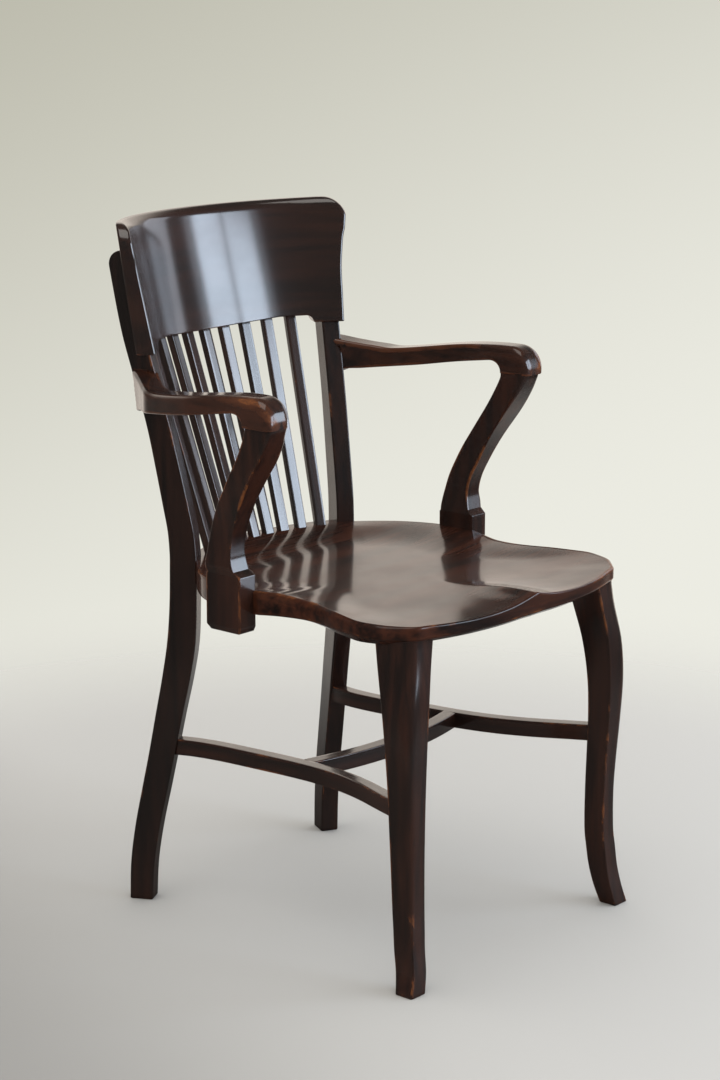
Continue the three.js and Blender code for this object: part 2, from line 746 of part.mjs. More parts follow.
// Against the share of the height from the block to the elbow.
const supportFrontShares = [
  [0, -0.11], [0.069, -0.16], [0.148, -0.188], [0.254, -0.126], [0.36, 0.002], [0.466, 0.146], [0.571, 0.316],
  [0.677, 0.512], [0.783, 0.715], [0.889, 0.894], [0.968, 1], [1, 1.035],
];
const supportBackShares = [
  [0, 0], [0.069, 0.022], [0.148, 0.058], [0.254, 0.128], [0.36, 0.22], [0.466, 0.343], [0.571, 0.495],
  [0.677, 0.649], [0.783, 0.806], [0.889, 0.929], [0.968, 0.995], [1, 1.01],
];
const supportOutsideShares = [
  [0, 0.02], [0.069, 0.14], [0.148, 0.1], [0.254, 0.16], [0.36, 0.28], [0.466, 0.45], [0.571, 0.61],
  [0.677, 0.78], [0.783, 0.89], [0.889, 0.98], [1, 1],
];
const supportInsideShares = [
  [0, 0.07], [0.069, 0.17], [0.148, 0.3], [0.254, 0.39], [0.36, 0.59], [0.466, 0.67], [0.571, 0.67],
  [0.677, 0.7], [0.783, 0.68], [0.889, 0.81], [0.968, 1], [1, 1],
];
const supportStationShares = [0.03, 0.07, 0.12, 0.19, 0.27, 0.36, 0.45, 0.55, 0.65, 0.75, 0.85, 0.94, 1];
const supportFrontShareAt = curveThrough(supportFrontShares);
const supportBackShareAt = curveThrough(supportBackShares);
const supportOutsideShareAt = curveThrough(supportOutsideShares);
const supportInsideShareAt = curveThrough(supportInsideShares);
const blockBack = support.blockFront + support.blockDepth;

// The four faces of the left support at a share of its height above the block.
function supportFacesAt(share) {
  return {
    left: mix(support.blockInside, support.topInside, supportInsideShareAt(share)),
    right: mix(support.blockOutside, support.topOutside, supportOutsideShareAt(share)),
    low: support.blockFront - support.frontReach * supportFrontShareAt(share),
    high: blockBack - support.backReach * supportBackShareAt(share),
  };
}

function supportBlank(grow = 0) {
  const block = { left: support.blockInside, right: support.blockOutside, low: support.blockFront, high: blockBack };
  const ring = (faces, height, inset) => roundedRectangle(
    faces.left - grow,
    faces.right + grow - inset / 4,
    faces.low - grow + inset / 2,
    faces.high + grow - inset,
    four(softened),
    [1, 2, 1, 1],
  ).map((point) => vector(point.x, point.y, height));
  return loft([
    ring(block, support.bottom - grow, support.footChamfer),
    ring(block, support.bottom + support.footChamfer, 0),
    ring(block, support.blockTop - softened, 0),
    ring(block, support.blockTop, softened),
    ...supportStationShares.map((share) => (
      ring(supportFacesAt(share), mix(support.blockTop, supportTop, share), 0)
    )),
  ]);
}

function armSupport() {
  return cut(supportBlank(), [elbowDowel(clearance), ...supportDowels(clearance)]);
}

// Arms: a broad elbow over the support, running back to a lap on the side of the post

// Against the share of the length from the nose: 1 is the elbow, 0 the post.
const armOutsideShares = [
  [0, 1], [0.29, 1], [0.36, 1.005], [0.42, 0.98], [0.48, 0.915], [0.545, 0.835], [0.61, 0.75], [0.675, 0.665],
  [0.738, 0.57], [0.786, 0.43], [0.86, 0.2], [0.93, 0], [1, -0.2],
];
const armInsideShares = [
  [0, 1], [0.163, 0.98], [0.24, 1.03], [0.29, 1.08], [0.355, 1.1], [0.42, 1.04], [0.545, 0.82], [0.61, 0.71],
  [0.675, 0.6], [0.738, 0.46], [0.786, 0.26], [0.84, 0], [1, -0.8],
];
const armTopShares = [
  [0, 0], [0.16, 0.02], [0.29, 0.2], [0.42, 0.46], [0.545, 0.74], [0.64, 0.93], [0.69, 0.98], [0.738, 0.9],
  [0.786, 0.78], [0.84, 0.6], [0.9, 0.38], [1, 0.1],
];
const armUnderShares = [
  [0, -0.1], [0.163, -0.01], [0.29, 0.15], [0.42, 0.32], [0.545, 0.49], [0.675, 0.635], [0.738, 0.7], [0.786, 0.74],
  [0.84, 0.77], [0.9, 0.92], [1, 1.1],
];
const armStationShares = [
  0.23, 0.3, 0.36, 0.42, 0.48, 0.54, 0.6, 0.66, 0.71, 0.75, 0.79, 0.83, 0.88, 0.94, 1,
];
const armOutsideShareAt = curveThrough(armOutsideShares);
const armInsideShareAt = curveThrough(armInsideShares);
const armTopShareAt = curveThrough(armTopShares);
const armUnderShareAt = curveThrough(armUnderShares);
const jointBack = supportFacesAt(1).high; // where the fillet under the arm begins

function armUnderAt(distance) {
  const open = armUnderside - arm.undersideFall * armUnderShareAt(distance / arm.length);
  const joint = supportTop + clearance;
  const start = jointBack + arm.nose;
  const share = THREE.MathUtils.clamp((distance - start) / arm.filletWidth, 0, 1);
  return mix(joint, open, Math.sqrt(1 - (1 - share) ** 2));
}

function armRing(distance) {
  const share = distance / arm.length;
  const sideInset = roundInset(arm.noseSideRound, distance);
  const left = mix(arm.rearInside, arm.elbowInside, armInsideShareAt(share)) + sideInset;
  const right = mix(arm.rearOutside, arm.elbowOutside, armOutsideShareAt(share)) - sideInset;
  const high = arm.top - arm.fall * armTopShareAt(share) - roundInset(arm.noseRound, distance);
  const outer = mix(arm.elbowRound, arm.outerRound, THREE.MathUtils.smoothstep(distance, arm.nose, 2 * arm.nose));
  const radii = [softened, softened, outer, arm.innerRound];
  const outline = roundedRectangle(left, right, armUnderAt(distance), high, radii, [1, 1, 4, 2]);
  return outline.map((point) => vector(point.x, distance - arm.nose, point.y));
}

function armPiece() {
  const noseDistances = spread(0, Math.PI / 2, 6).map((angle) => arm.noseRound * (1 - Math.cos(angle)));
  const filletStart = jointBack + arm.nose;
  const filletDistances = spread(0, Math.PI / 2, 4).map((angle) => filletStart + arm.filletWidth * (1 - Math.cos(angle)));
  const rearDistances = armStationShares.map((share) => share * arm.length);
  const blank = loft([...noseDistances, ...filletDistances, ...rearDistances].map(armRing));
  const face = post.thickness / 2 + clearance;
  const far = arm.length;
  const insidePost = postSlab(-far, face, (height) => postFrontAt(height) - clearance, () => far);
  const behindPost = postSlab(-far, far, postBackAt, () => far);
  return cut(blank, [insidePost, behindPost, elbowDowel(clearance), armEndDowel(clearance)]);
}

// Stretchers: bowed bars tenoned between the legs, with a cross bar between them

const rearBowShares = [[0, 1], [0.063, 0.45], [0.15, 0.1], [0.27, 0], [1, 0]];
const frontBowShares = [[0, 0], [0.27, 0], [0.52, 0.037], [0.672, 0.17], [0.8, 0.43], [0.939, 0.84], [1, 1.02]];
const rearBowShareAt = curveThrough(rearBowShares);
const frontBowShareAt = curveThrough(frontBowShares);

// Middle of the left stretcher from the post (0) to the front leg (1).
const sidePath = runOn((share) => {
  const rearHeight = stretcher.rearTop - stretcher.height / 2;
  const frontHeight = stretcher.frontTop - stretcher.height / 2;
  const rear = onPost(0, postFrontAt(rearHeight), rearHeight);
  const faces = legFacesAt(frontHeight);
  const front = vector((faces.left + faces.right) / 2, faces.high, frontHeight);
  const fromRear = (rear.x - stretcher.waist) * rearBowShareAt(share);
  const fromFront = (front.x - stretcher.waist) * frontBowShareAt(share);
  return rear.lerp(front, share).setX(stretcher.waist + fromRear + fromFront);
});
const sideLength = sidePath(0).distanceTo(sidePath(1));
const sideShare = (length) => length / sideLength;

const rearTenonShares = () => [-sideShare(stretcher.tenonLength), sideShare(overrun)];
const frontTenonShares = () => [1 - sideShare(overrun), 1 + sideShare(stretcher.tenonLength)];

function sideTenon([from, to], grow = 0) {
  const width = stretcher.width - 2 * stretcher.tenonShoulder + 2 * grow;
  const height = stretcher.height - 2 * stretcher.tenonShoulder + 2 * grow;
  const extra = sideShare(grow);
  return bar(sidePath, from - extra, to + extra, 2, width, height, softened);
}

function sideBar(grow = 0) {
  const end = sideShare(overrun);
  return bar(sidePath, -end, 1 + end, 16, stretcher.width + 2 * grow, stretcher.height + 2 * grow, softened);
}

function sideStretcher() {
  const trimmed = cut(sideBar(), [postBlank(clearance), legBlank(clearance)]);
  const tenons = [sideTenon(rearTenonShares()), sideTenon(frontTenonShares())];
  return cut(join(trimmed, tenons), [crossTenon(clearance)]);
}

// Middle of the cross stretcher from the left side (0) to the right (1).
function crossPathAt(share) {
  const along = (sidePath(0).y - crossStretcher.back) / (sidePath(0).y - sidePath(1).y);
  const beside = sidePath(along);
  const half = beside.x - stretcher.width / 2;
  const height = beside.z + stretcher.height / 2 - crossStretcher.height / 2;
  const across = 1 - 2 * share;
  return vector(half * across, crossStretcher.back - crossStretcher.bow * (1 - across ** 2), height);
}
const crossPath = runOn(crossPathAt);
const crossLength = crossPath(0).distanceTo(crossPath(1));

function crossBar(end, inset, count) {
  const share = end / crossLength;
  const width = crossStretcher.width - 2 * inset;
  return bar(crossPath, -share, 1 + share, count, width, crossStretcher.height - 2 * inset, softened);
}

function crossTenon(grow = 0) {
  return crossBar(crossStretcher.tenonLength + grow, stretcher.tenonShoulder - grow, 8);
}

function crossStretcherPiece() {
  const trimmed = cut(crossBar(overrun, 0, 12), [sideBar(clearance), mirroredSolid(sideBar(clearance))]);
  return join(trimmed, [crossTenon()]);
}

// Fixings: dowels in the crest, arms and supports, plugged screws behind the seat

function dowelAt(middle, direction, grow) {
  const radius = dowel.radius + grow;
  const half = dowel.length / 2 + grow;
  return turned([[0, -half], [radius, -half], [radius, half], [0, half]], middle, direction);
}

// Across the joint between the back of the rail and the left post.
function crestDowels(grow = 0) {
  return crestDowelShares.map((share) => mix(rail.bottom, rail.top, share)).map((height) => {
    const middle = onPost(0, postSweepAt(height), height);
    const centre = railFaceAt(height) - rail.radius;
    const along = rail.radius * Math.atan2(middle.x, middle.y - centre);
    return dowelAt(onRail(along, railThicknessAt(height), height), alongPost, grow);
  });
}

// Upright between the left support and the elbow above it.
function elbowDowel(grow = 0) {
  const { left, right, low, high } = supportFacesAt(1);
  return dowelAt(vector((left + right) / 2, (low + high) / 2, supportTop), vector(0, 0, 1), grow);
}

// From the outer side of the left post into the end of the arm.
function armEndDowel(grow = 0) {
  const height = arm.top - arm.dowelDrop;
  return dowelAt(onPost(post.thickness / 2, postSweepAt(height), height), acrossPost, grow);
}

// From the block of the left support into the edge of the seat.
function supportDowels(grow = 0) {
  const middle = support.blockFront + support.blockDepth / 2;
  return [middle - supportDowelSpread, middle + supportDowelSpread].map((back) => (
    dowelAt(vector(support.blockInside, back, seatUnderside + seat.thickness / 2), vector(1, 0, 0), grow)
  ));
}

// A countersunk screw under a plug, and the bore that takes both.
function screwSet(surface, direction) {
  const head = plug.depth + clearance;
  const taper = head + screw.headDepth;
  const tip = head + screw.length;
  const screwProfile = [
    [0, head], [screw.headRadius, head], [screw.shankRadius, taper], [screw.shankRadius, tip - screw.headDepth], [0, tip],
  ];
  const boreProfile = [
    [0, -overrun],
    [plug.radius + clearance, -overrun],
    [plug.radius + clearance, head],
    [screw.headRadius + clearance, head],
    [screw.shankRadius + clearance, taper + clearance],
    [screw.shankRadius + clearance, tip + clearance],
    [0, tip + clearance],
  ];
  const plugProfile = [[0, 0], [plug.radius, 0], [plug.radius, plug.depth], [0, plug.depth]];
  return {
    plug: turned(plugProfile, surface, direction),
    screw: turned(screwProfile, surface, direction),
    bore: turned(boreProfile, surface, direction),
  };
}

// Through the back of the left post into the edge of the seat.
function postScrews() {
  const middle = seatUnderside + seat.thickness / 2;
  return [middle - postScrewSpread, middle + postScrewSpread].map((height) => (
    screwSet(onPost(0, postBackAt(height), height), alongPost.clone().negate())
  ));
}

// Assembly

function mirroredGeometry(geometry) {
  const copy = geometry.clone();
  copy.scale(-1, 1, 1);
  return closed(copy);
}

function mirroredSolid(body) {
  return solid(mirroredGeometry(geometryOf(body)));
}

const chair = new THREE.Group();
chair.name = 'captains_chair';

function addPiece(name, geometry, look) {
  const creaseAngle = THREE.MathUtils.degToRad(32);
  const mesh = new THREE.Mesh(toCreasedNormals(geometry, creaseAngle), new THREE.MeshStandardMaterial(look));
  mesh.name = name;
  chair.add(mesh);
}

function addPair(name, body, look) {
  const geometry = geometryOf(body);
  addPiece(`${name}_left`, geometry, look);
  addPiece(`${name}_right`, mirroredGeometry(geometry), look);
}

addPiece('seat', geometryOf(seatPiece()), wood);
addPiece('crest_rail', geometryOf(crestRail()), wood);
slatPlaces().forEach((place, i) => addPiece(`back_slat_${i + 1}`, geometryOf(slatPiece(place)), wood));
addPair('rear_post', rearPost(), wood);
addPair('front_leg', frontLegPiece(), wood);
addPair('arm_support', armSupport(), wood);
addPair('arm', armPiece(), wood);
addPair('side_stretcher', sideStretcher(), wood);
addPiece('cross_stretcher', geometryOf(crossStretcherPiece()), wood);
crestDowels().forEach((body, i) => addPair(`crest_dowel_${i + 1}`, body, dowelWood));
supportDowels().forEach((body, i) => addPair(`support_dowel_${i + 1}`, body, dowelWood));
addPair('elbow_dowel', elbowDowel(), dowelWood);
addPair('arm_end_dowel', armEndDowel(), dowelWood);
postScrews().forEach((set, i) => {
  addPair(`post_screw_${i + 1}`, set.screw, steel);
  addPair(`post_plug_${i + 1}`, set.plug, wood);
});

const bounds = new THREE.Box3().setFromObject(chair);
const middle = bounds.getCenter(new THREE.Vector3());
chair.children.forEach((mesh) => mesh.position.set(-middle.x, -middle.y, -bounds.min.z));

export default chair;
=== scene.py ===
"""A captain's chair in dark French-polished hardwood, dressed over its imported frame.

The visible pieces are swept again from the chair's own curves with many more
stations, so that the polish reflects smoothly. Lengths here are in millimetres
about the drawing's datum, and each finished mesh is moved into the frame in metres.
"""

import logging
import math
from collections.abc import Callable, Sequence
from dataclasses import dataclass, field
from enum import Enum

import bpy
import numpy as np
from mathutils import Matrix, Vector


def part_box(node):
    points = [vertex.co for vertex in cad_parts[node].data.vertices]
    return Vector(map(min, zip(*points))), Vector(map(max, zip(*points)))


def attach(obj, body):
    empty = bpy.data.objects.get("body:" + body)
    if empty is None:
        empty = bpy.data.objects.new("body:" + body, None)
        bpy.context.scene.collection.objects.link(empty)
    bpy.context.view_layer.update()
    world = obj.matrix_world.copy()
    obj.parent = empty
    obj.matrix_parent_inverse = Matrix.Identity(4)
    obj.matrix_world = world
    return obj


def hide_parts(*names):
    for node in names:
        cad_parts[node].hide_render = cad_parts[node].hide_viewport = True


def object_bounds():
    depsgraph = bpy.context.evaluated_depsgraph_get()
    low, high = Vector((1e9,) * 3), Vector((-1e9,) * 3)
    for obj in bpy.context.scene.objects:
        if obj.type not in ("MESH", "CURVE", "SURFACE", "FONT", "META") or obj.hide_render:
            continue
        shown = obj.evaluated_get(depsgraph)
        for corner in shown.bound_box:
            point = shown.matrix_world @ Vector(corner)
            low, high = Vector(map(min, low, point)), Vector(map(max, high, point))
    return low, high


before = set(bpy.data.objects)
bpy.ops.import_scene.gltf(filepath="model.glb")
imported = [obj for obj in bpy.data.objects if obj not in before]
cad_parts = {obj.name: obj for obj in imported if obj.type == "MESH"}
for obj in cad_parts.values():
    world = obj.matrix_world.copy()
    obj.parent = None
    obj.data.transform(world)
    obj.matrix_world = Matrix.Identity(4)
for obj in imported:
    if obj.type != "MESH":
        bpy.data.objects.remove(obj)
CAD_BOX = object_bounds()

logging.basicConfig(level=logging.INFO, format="%(message)s")
log = logging.getLogger("captains_chair")

MILLIMETRE = 0.001
ARM_NOSE = 51.0  # the nose of the arm lies this far ahead of the datum
DATUM_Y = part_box("arm_left")[0].y + ARM_NOSE * MILLIMETRE
ROOT = "root"
SHARP_ANGLE = math.radians(38)  # an edge that turns more than this is shaded sharp
GRAIN_SHIFT = 4000.0  # the farthest that a board's grain is shifted

Pairs = Sequence[tuple[float, float]]
Numbers = np.ndarray
Faces = tuple[float, float, float, float]
Colour = tuple[float, float, float]


class Side(Enum):
    """The sitter's left or right."""

    LEFT = 1
    RIGHT = -1

    @property
    def word(self) -> str:
        """The side's name as the frame's nodes end with it."""
        return self.name.lower()


def mix(start: float, end: float, share: float) -> float:
    """The value at a share of the way from start to end."""
    return start + (end - start) * share


def smooth(value: float, low: float, high: float) -> float:
    """A smooth step from 0 at low to 1 at high."""
    share = min(max((value - low) / (high - low), 0.0), 1.0)
    return share * share * (3 - 2 * share)


def round_inset(radius: float, depth: float) -> float:
    """How far a rounded corner has drawn in at a depth below its tip."""
    rest = max(radius - max(depth, 0.0), 0.0)
    return radius - math.sqrt(radius**2 - rest**2)


class Curve:
    """A smooth curve through [place, value] pairs, flat beyond its ends."""

    def __init__(self, pairs: Pairs) -> None:
        """Keeps the pairs and works out a slope at each.

        Args:
            pairs: places in rising order, each with its value.
        """
        self.places = [float(place) for place, _ in pairs]
        self.values = [float(value) for _, value in pairs]
        last = len(pairs) - 1
        self.slopes = []
        for i in range(len(pairs)):
            low, high = max(i - 1, 0), min(i + 1, last)
            rise = self.values[high] - self.values[low]
            self.slopes.append(rise / (self.places[high] - self.places[low]))

    def __call__(self, place: float) -> float:
        """The curve's value.

        Args:
            place: where it is read.

        Returns:
            The value there, or that of the nearer end.
        """
        x = min(max(place, self.places[0]), self.places[-1])
        i = max(int(np.searchsorted(self.places, x)) - 1, 0)
        span = self.places[i + 1] - self.places[i]
        t = (x - self.places[i]) / span
        leave = t * (1 - t) ** 2 * span * self.slopes[i]
        arrive = t * t * (t - 1) * span * self.slopes[i + 1]
        return mix(self.values[i], self.values[i + 1], t * t * (3 - 2 * t)) + leave + arrive


# Meshes


SHARP_RADIUS = (4.0, 14.0)  # a corner fades from an arris to a plain round between these
FAR = 40.0  # distance from an arris that counts as none
BESIDE_CORNER = ((1.5, 0.08), (4.0, 0.2))  # extra points: their reach, and its limit by length


def outline(
    left: float,
    right: float,
    low: float,
    high: float,
    radii: Sequence[float],
    corner: int = 5,
    side: int = 3,
) -> Numbers:
    """A rounded rectangle that starts in the middle of its left side.

    Args:
        left, right, low, high: its four sides.
        radii: of the lower left, lower right, upper right and upper left corners.
        corner: facets in each corner.
        side: spaces between the points in the middle of each side.

    Returns:
        Rows of across, up and the distance from the nearest arris. The number of
        points depends on corner and side alone, and the upper and lower rows match.
    """
    room = 0.98 * min(right - left, high - low)
    centres = (
        (left, low, 1, 1, -math.pi),
        (right, low, -1, 1, -math.pi / 2),
        (right, high, -1, -1, 0.0),
        (left, high, 1, -1, math.pi / 2),
    )
    arcs, fades = [], []
    for k, (x, y, inward_x, inward_y, start) in enumerate(centres):
        beside = max(radii[(k + 1) % 4], radii[(k + 3) % 4])
        radius = min(radii[k], room * radii[k] / (radii[k] + beside))
        turns = np.linspace(start, start + math.pi / 2, corner + 1)
        arcs.append(
            np.column_stack(
                (x + radius * (inward_x + np.cos(turns)), y + radius * (inward_y + np.sin(turns)))
            )
        )
        fades.append(FAR * smooth(radius, *SHARP_RADIUS))
    points, kinds = [], []
    for k, arc in enumerate(arcs):
        points.extend(arc)
        kinds.extend([k] * len(arc))
        start, end = arc[-1], arcs[(k + 1) % 4][0]
        length = float(np.hypot(*(end - start)))
        near = [min(reach, length * part) for reach, part in BESIDE_CORNER]
        middle = np.linspace(length * 0.3, length * 0.7, side + 1)
        stops = [*near, *middle, length - near[1], length - near[0]]
        for stop in stops:
            points.append(start + (end - start) * (stop / max(length, 1e-9)))
            kinds.append(-1)
    ring = np.array(points)
    steps = np.hypot(*(np.roll(ring, -1, 0) - ring).T)
    along = np.concatenate(([0.0], np.cumsum(steps)[:-1]))
    total = float(steps.sum())
    distance = np.full(len(ring), FAR)
    for k in range(4):
        own = along[[i for i, kind in enumerate(kinds) if kind == k]]
        ahead = np.mod(along - own[-1], total)
        behind = np.mod(own[0] - along, total)
        inside = (along >= own[0] - 1e-9) & (along <= own[-1] + 1e-9)
        distance = np.minimum(distance, np.where(inside, 0.0, np.minimum(ahead, behind)) + fades[k])
    ring = np.column_stack((ring, distance))
    return np.roll(ring, (len(stops) + 1) // 2, axis=0)


@dataclass
class Sweep:
    """A closed body made of rings of equal count.

    Each ring holds rows of x, y, z, then the three coordinates of the grain, which
    run along, across and through the board, and the distance from an arris.
    """

    rings: list[Numbers] = field(default_factory=list)
    ladder: bool = True

    def add(self, places: Numbers, grain: Numbers, arris: Numbers) -> None:
        """Adds a ring.

        Args:
            places: rows of x, y and z.
            grain: rows of the grain's coordinates.
            arris: distances from the nearest arris.
        """
        self.rings.append(np.column_stack((places, grain, arris)))

    def mesh(self, name: str, side: Side = Side.LEFT, seed: int = 0) -> bpy.types.Mesh:
        """Turns the rings into a mesh in the frame's metres.

        Args:
            name: of the mesh.
            side: RIGHT mirrors a piece drawn on the left.
            seed: shifts the grain, so that no two boards match.

        Returns:
            The mesh, smooth but for its sharp edges, with its attributes.
        """
        count = len(self.rings[0])
        rows = np.concatenate(self.rings)
        faces = []
        for r in range(len(self.rings) - 1):
            for i in range(count):
                a, b = r * count + i, r * count + (i + 1) % count
                faces.append((a, b, b + count, a + count))
        top = (len(self.rings) - 1) * count
        if self.ladder:
            for i in range(count // 2 - 1):
                low = (i, count - 1 - i, count - 2 - i, i + 1)
                faces.append(low)
                faces.append(tuple(top + k for k in reversed(low)))
        else:
            middles = [self.rings[0].mean(0), self.rings[-1].mean(0)]
            rows = np.vstack((rows, middles))
            for i in range(count):
                after = (i + 1) % count
                faces.append((i, len(rows) - 2, after))
                faces.append((top + after, len(rows) - 1, top + i))
        places = rows[:, :3] * MILLIMETRE
        places[:, 1] += DATUM_Y
        if side is Side.RIGHT:
            places[:, 0] *= -1
            faces = [tuple(reversed(face)) for face in faces]
        mesh = bpy.data.meshes.new(name)
        mesh.from_pydata(places.tolist(), [], faces)
        mesh.validate()
        mesh.update()
        shade(mesh)
        shift = np.random.default_rng(seed).uniform(-GRAIN_SHIFT, GRAIN_SHIFT, 3)
        mark(mesh, "grain", rows[:, 3:6] + shift)
        mark(mesh, "arris", rows[:, 6])
        return mesh


def signed_volume(mesh: bpy.types.Mesh) -> float:
    """Six times a mesh's volume, below zero where its faces point inwards."""
    mesh.calc_loop_triangles()
    corners = np.array([triangle.vertices for triangle in mesh.loop_triangles])
    places = np.array([vertex.co for vertex in mesh.vertices])
    a, b, c = (places[corners[:, k]] for k in range(3))
    return float(np.einsum("ij,ij->", a, np.cross(b, c)))


def shade(mesh: bpy.types.Mesh) -> None:
    """Turns a mesh's faces outwards and shades it smooth between its sharp edges."""
    if signed_volume(mesh) < 0:
        mesh.flip_normals()
    mesh.shade_smooth()
    mesh.set_sharp_from_angle(angle=SHARP_ANGLE)


def mark(mesh: bpy.types.Mesh, name: str, values: Numbers) -> None:
    """Stores a number or a vector with each vertex of a mesh."""
    kind, key = ("FLOAT", "value") if values.ndim == 1 else ("FLOAT_VECTOR", "vector")
    attribute = mesh.attributes.new(name, kind, "POINT")
    attribute.data.foreach_set(key, values.astype(np.float32).ravel())


def upright(
    ring: Numbers, height: float, place: Callable[[Numbers], Numbers]
) -> tuple[Numbers, Numbers, Numbers]:
    """Stands an outline at a height.

    Args:
        ring: rows from outline().
        height: above the floor.
        place: takes rows of across and along to rows of x and y.

    Returns:
        The places, grain and arris distances that Sweep.add takes.
    """
    level = np.full(len(ring), height)
    places = np.column_stack((place(ring[:, :2]), level))
    return places, np.column_stack((level, ring[:, :2])), ring[:, 2]


def put(
    mesh: bpy.types.Mesh, material: bpy.types.Material, nodes: Sequence[str]
) -> None:
    """Adds a finished piece to the chair.

    Args:
        mesh: in the frame's metres.
        material: its finish.
        nodes: the frame's nodes that it stands for.
    """
    places = np.empty(3 * len(mesh.vertices), np.float32)
    mesh.vertices.foreach_get("co", places)
    held = np.clip(places.reshape(-1, 3), *(np.array(corner, np.float32) for corner in CAD_BOX))
    mesh.vertices.foreach_set("co", held.ravel())
    mesh.update()
    piece = bpy.data.objects.new(mesh.name, mesh)
    bpy.context.scene.collection.objects.link(piece)
    if not mesh.materials:
        mesh.materials.append(material)
    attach(piece, ROOT)
    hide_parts(*nodes)
    log.info("%s: %d faces for %s", mesh.name, len(mesh.polygons), ", ".join(nodes))


def put_pair(
    body: Sweep, stem: str, form: str, seed: int, material: bpy.types.Material
) -> None:
    """Adds a left piece and its mirror image.

    Args:
        body: the left piece.
        stem: of the two nodes' names.
        form: ends the two pieces' names.
        seed: shifts the grain, a little differently on each side.
        material: their finish.
    """
    for side in Side:
        node = f"{stem}_{side.word}"
        put(body.mesh(f"{node}_{form}", side, seed + side.value), material, [node])


# Shading


@dataclass(frozen=True)
class Flow:
    """A socket with arithmetic: an expression on flows adds its Math nodes."""

    kit: "NodeKit"
    socket: bpy.types.NodeSocket | None

    def _math(self, operation: str, *values: "Flow | float") -> "Flow":
        """Adds one Math node on this flow and the values."""
        return self.kit.node("ShaderNodeMath", {"operation": operation}, dict(enumerate(values)))

    def __add__(self, other: "Flow | float") -> "Flow":
        """This plus the other."""
        return self._math("ADD", self, other)

    __radd__ = __add__

    def __sub__(self, other: "Flow | float") -> "Flow":
        """This less the other."""
        return self._math("SUBTRACT", self, other)

    def __rsub__(self, other: float) -> "Flow":
        """The other less this."""
        return self._math("SUBTRACT", other, self)

    def __mul__(self, other: "Flow | float") -> "Flow":
        """This times the other."""
        return self._math("MULTIPLY", self, other)

    __rmul__ = __mul__

    def between(self, low: float, high: float) -> "Flow":
        """A smooth step of this flow from 0 at low to 1 at high."""
        settings = {"interpolation_type": "SMOOTHSTEP"}
        return self.kit.node("ShaderNodeMapRange", settings, {0: self, 1: low, 2: high})

    def limited(self) -> "Flow":
        """This flow held between 0 and 1."""
        return self.kit.node("ShaderNodeClamp", {}, {0: self})


@dataclass(frozen=True)
class NodeKit:
    """Adds nodes to one tree."""

    tree: bpy.types.NodeTree

    @classmethod
    def of(cls, owner: bpy.types.Material | bpy.types.World) -> "NodeKit":
        """Empties the shader tree of a material or the world, and adds to that."""
        owner.use_nodes = True
        owner.node_tree.nodes.clear()
        return cls(owner.node_tree)

    def node(
        self,
        kind: str,
        settings: dict[str, object],
        inputs: dict[int | str, object],
        output: int | str = 0,
    ) -> Flow:
        """Adds any node.

        Args:
            kind: the node's type.
            settings: its properties, set first.
            inputs: values, or flows to link, by socket.
            output: the socket that the flow stands for.

        Returns:
            The flow of that output, or an empty one if the node has no outputs.
        """
        made = self.tree.nodes.new(kind)
        for key, value in settings.items():
            setattr(made, key, value)
        for key, value in inputs.items():
            if isinstance(value, Flow):
                self.tree.links.new(value.socket, made.inputs[key])
            else:
                made.inputs[key].default_value = value
        return Flow(self, made.outputs[output] if made.outputs else None)

    def noise(
        self, place: Flow, scales: tuple[float, float, float], detail: float, rough: float
    ) -> Flow:
        """Noise from 0 to 1 at a place, with each of its coordinates scaled."""
        settings = {"operation": "MULTIPLY"}
        scaled = self.node("ShaderNodeVectorMath", settings, {0: place, 1: scales}, "Vector")
        inputs = {"Vector": scaled, "Scale": 1.0, "Detail": detail, "Roughness": rough}
        return self.node("ShaderNodeTexNoise", {}, inputs, "Fac")

    def along(self, place: Flow, direction: tuple[float, float, float]) -> Flow:
        """A place's distance along a direction."""
        settings = {"operation": "DOT_PRODUCT"}
        return self.node("ShaderNodeVectorMath", settings, {0: place, 1: direction}, "Value")

    def blend(self, share: Flow, start: Flow | Colour, end: Flow | Colour) -> Flow:
        """A colour between two, by a share."""
        colours = [c if isinstance(c, Flow) else (*c, 1.0) for c in (start, end)]
        inputs = {0: share, 6: colours[0], 7: colours[1]}
        return self.node("ShaderNodeMix", {"data_type": "RGBA"}, inputs, 2)

    def surface(self, inputs: dict[int | str, object]) -> None:
        """Ends a material's tree in a Principled shader with these inputs."""
        shader = self.node("ShaderNodeBsdfPrincipled", {}, inputs)
        self.node("ShaderNodeOutputMaterial", {}, {"Surface": shader})


# Each noise's scale along the grain and across it, its detail and its roughness
BROAD = (0.0035, 0.024, 2.0, 0.55)
BANDS = (0.006, 0.11, 4.0, 0.55)
PORES = (0.05, 1.3, 2.0, 0.4)
CLOUDS = (0.012, 0.016, 3.0, 0.55)
SCUFFS = (0.05, 0.12, 5.0, 0.65)
PATCHES = (0.01, 0.02, 2.0, 0.55)
SPECKS = (0.22, 0.5, 6.0, 0.75)
DENTS = (0.09, 0.1, 1.0, 0.55)


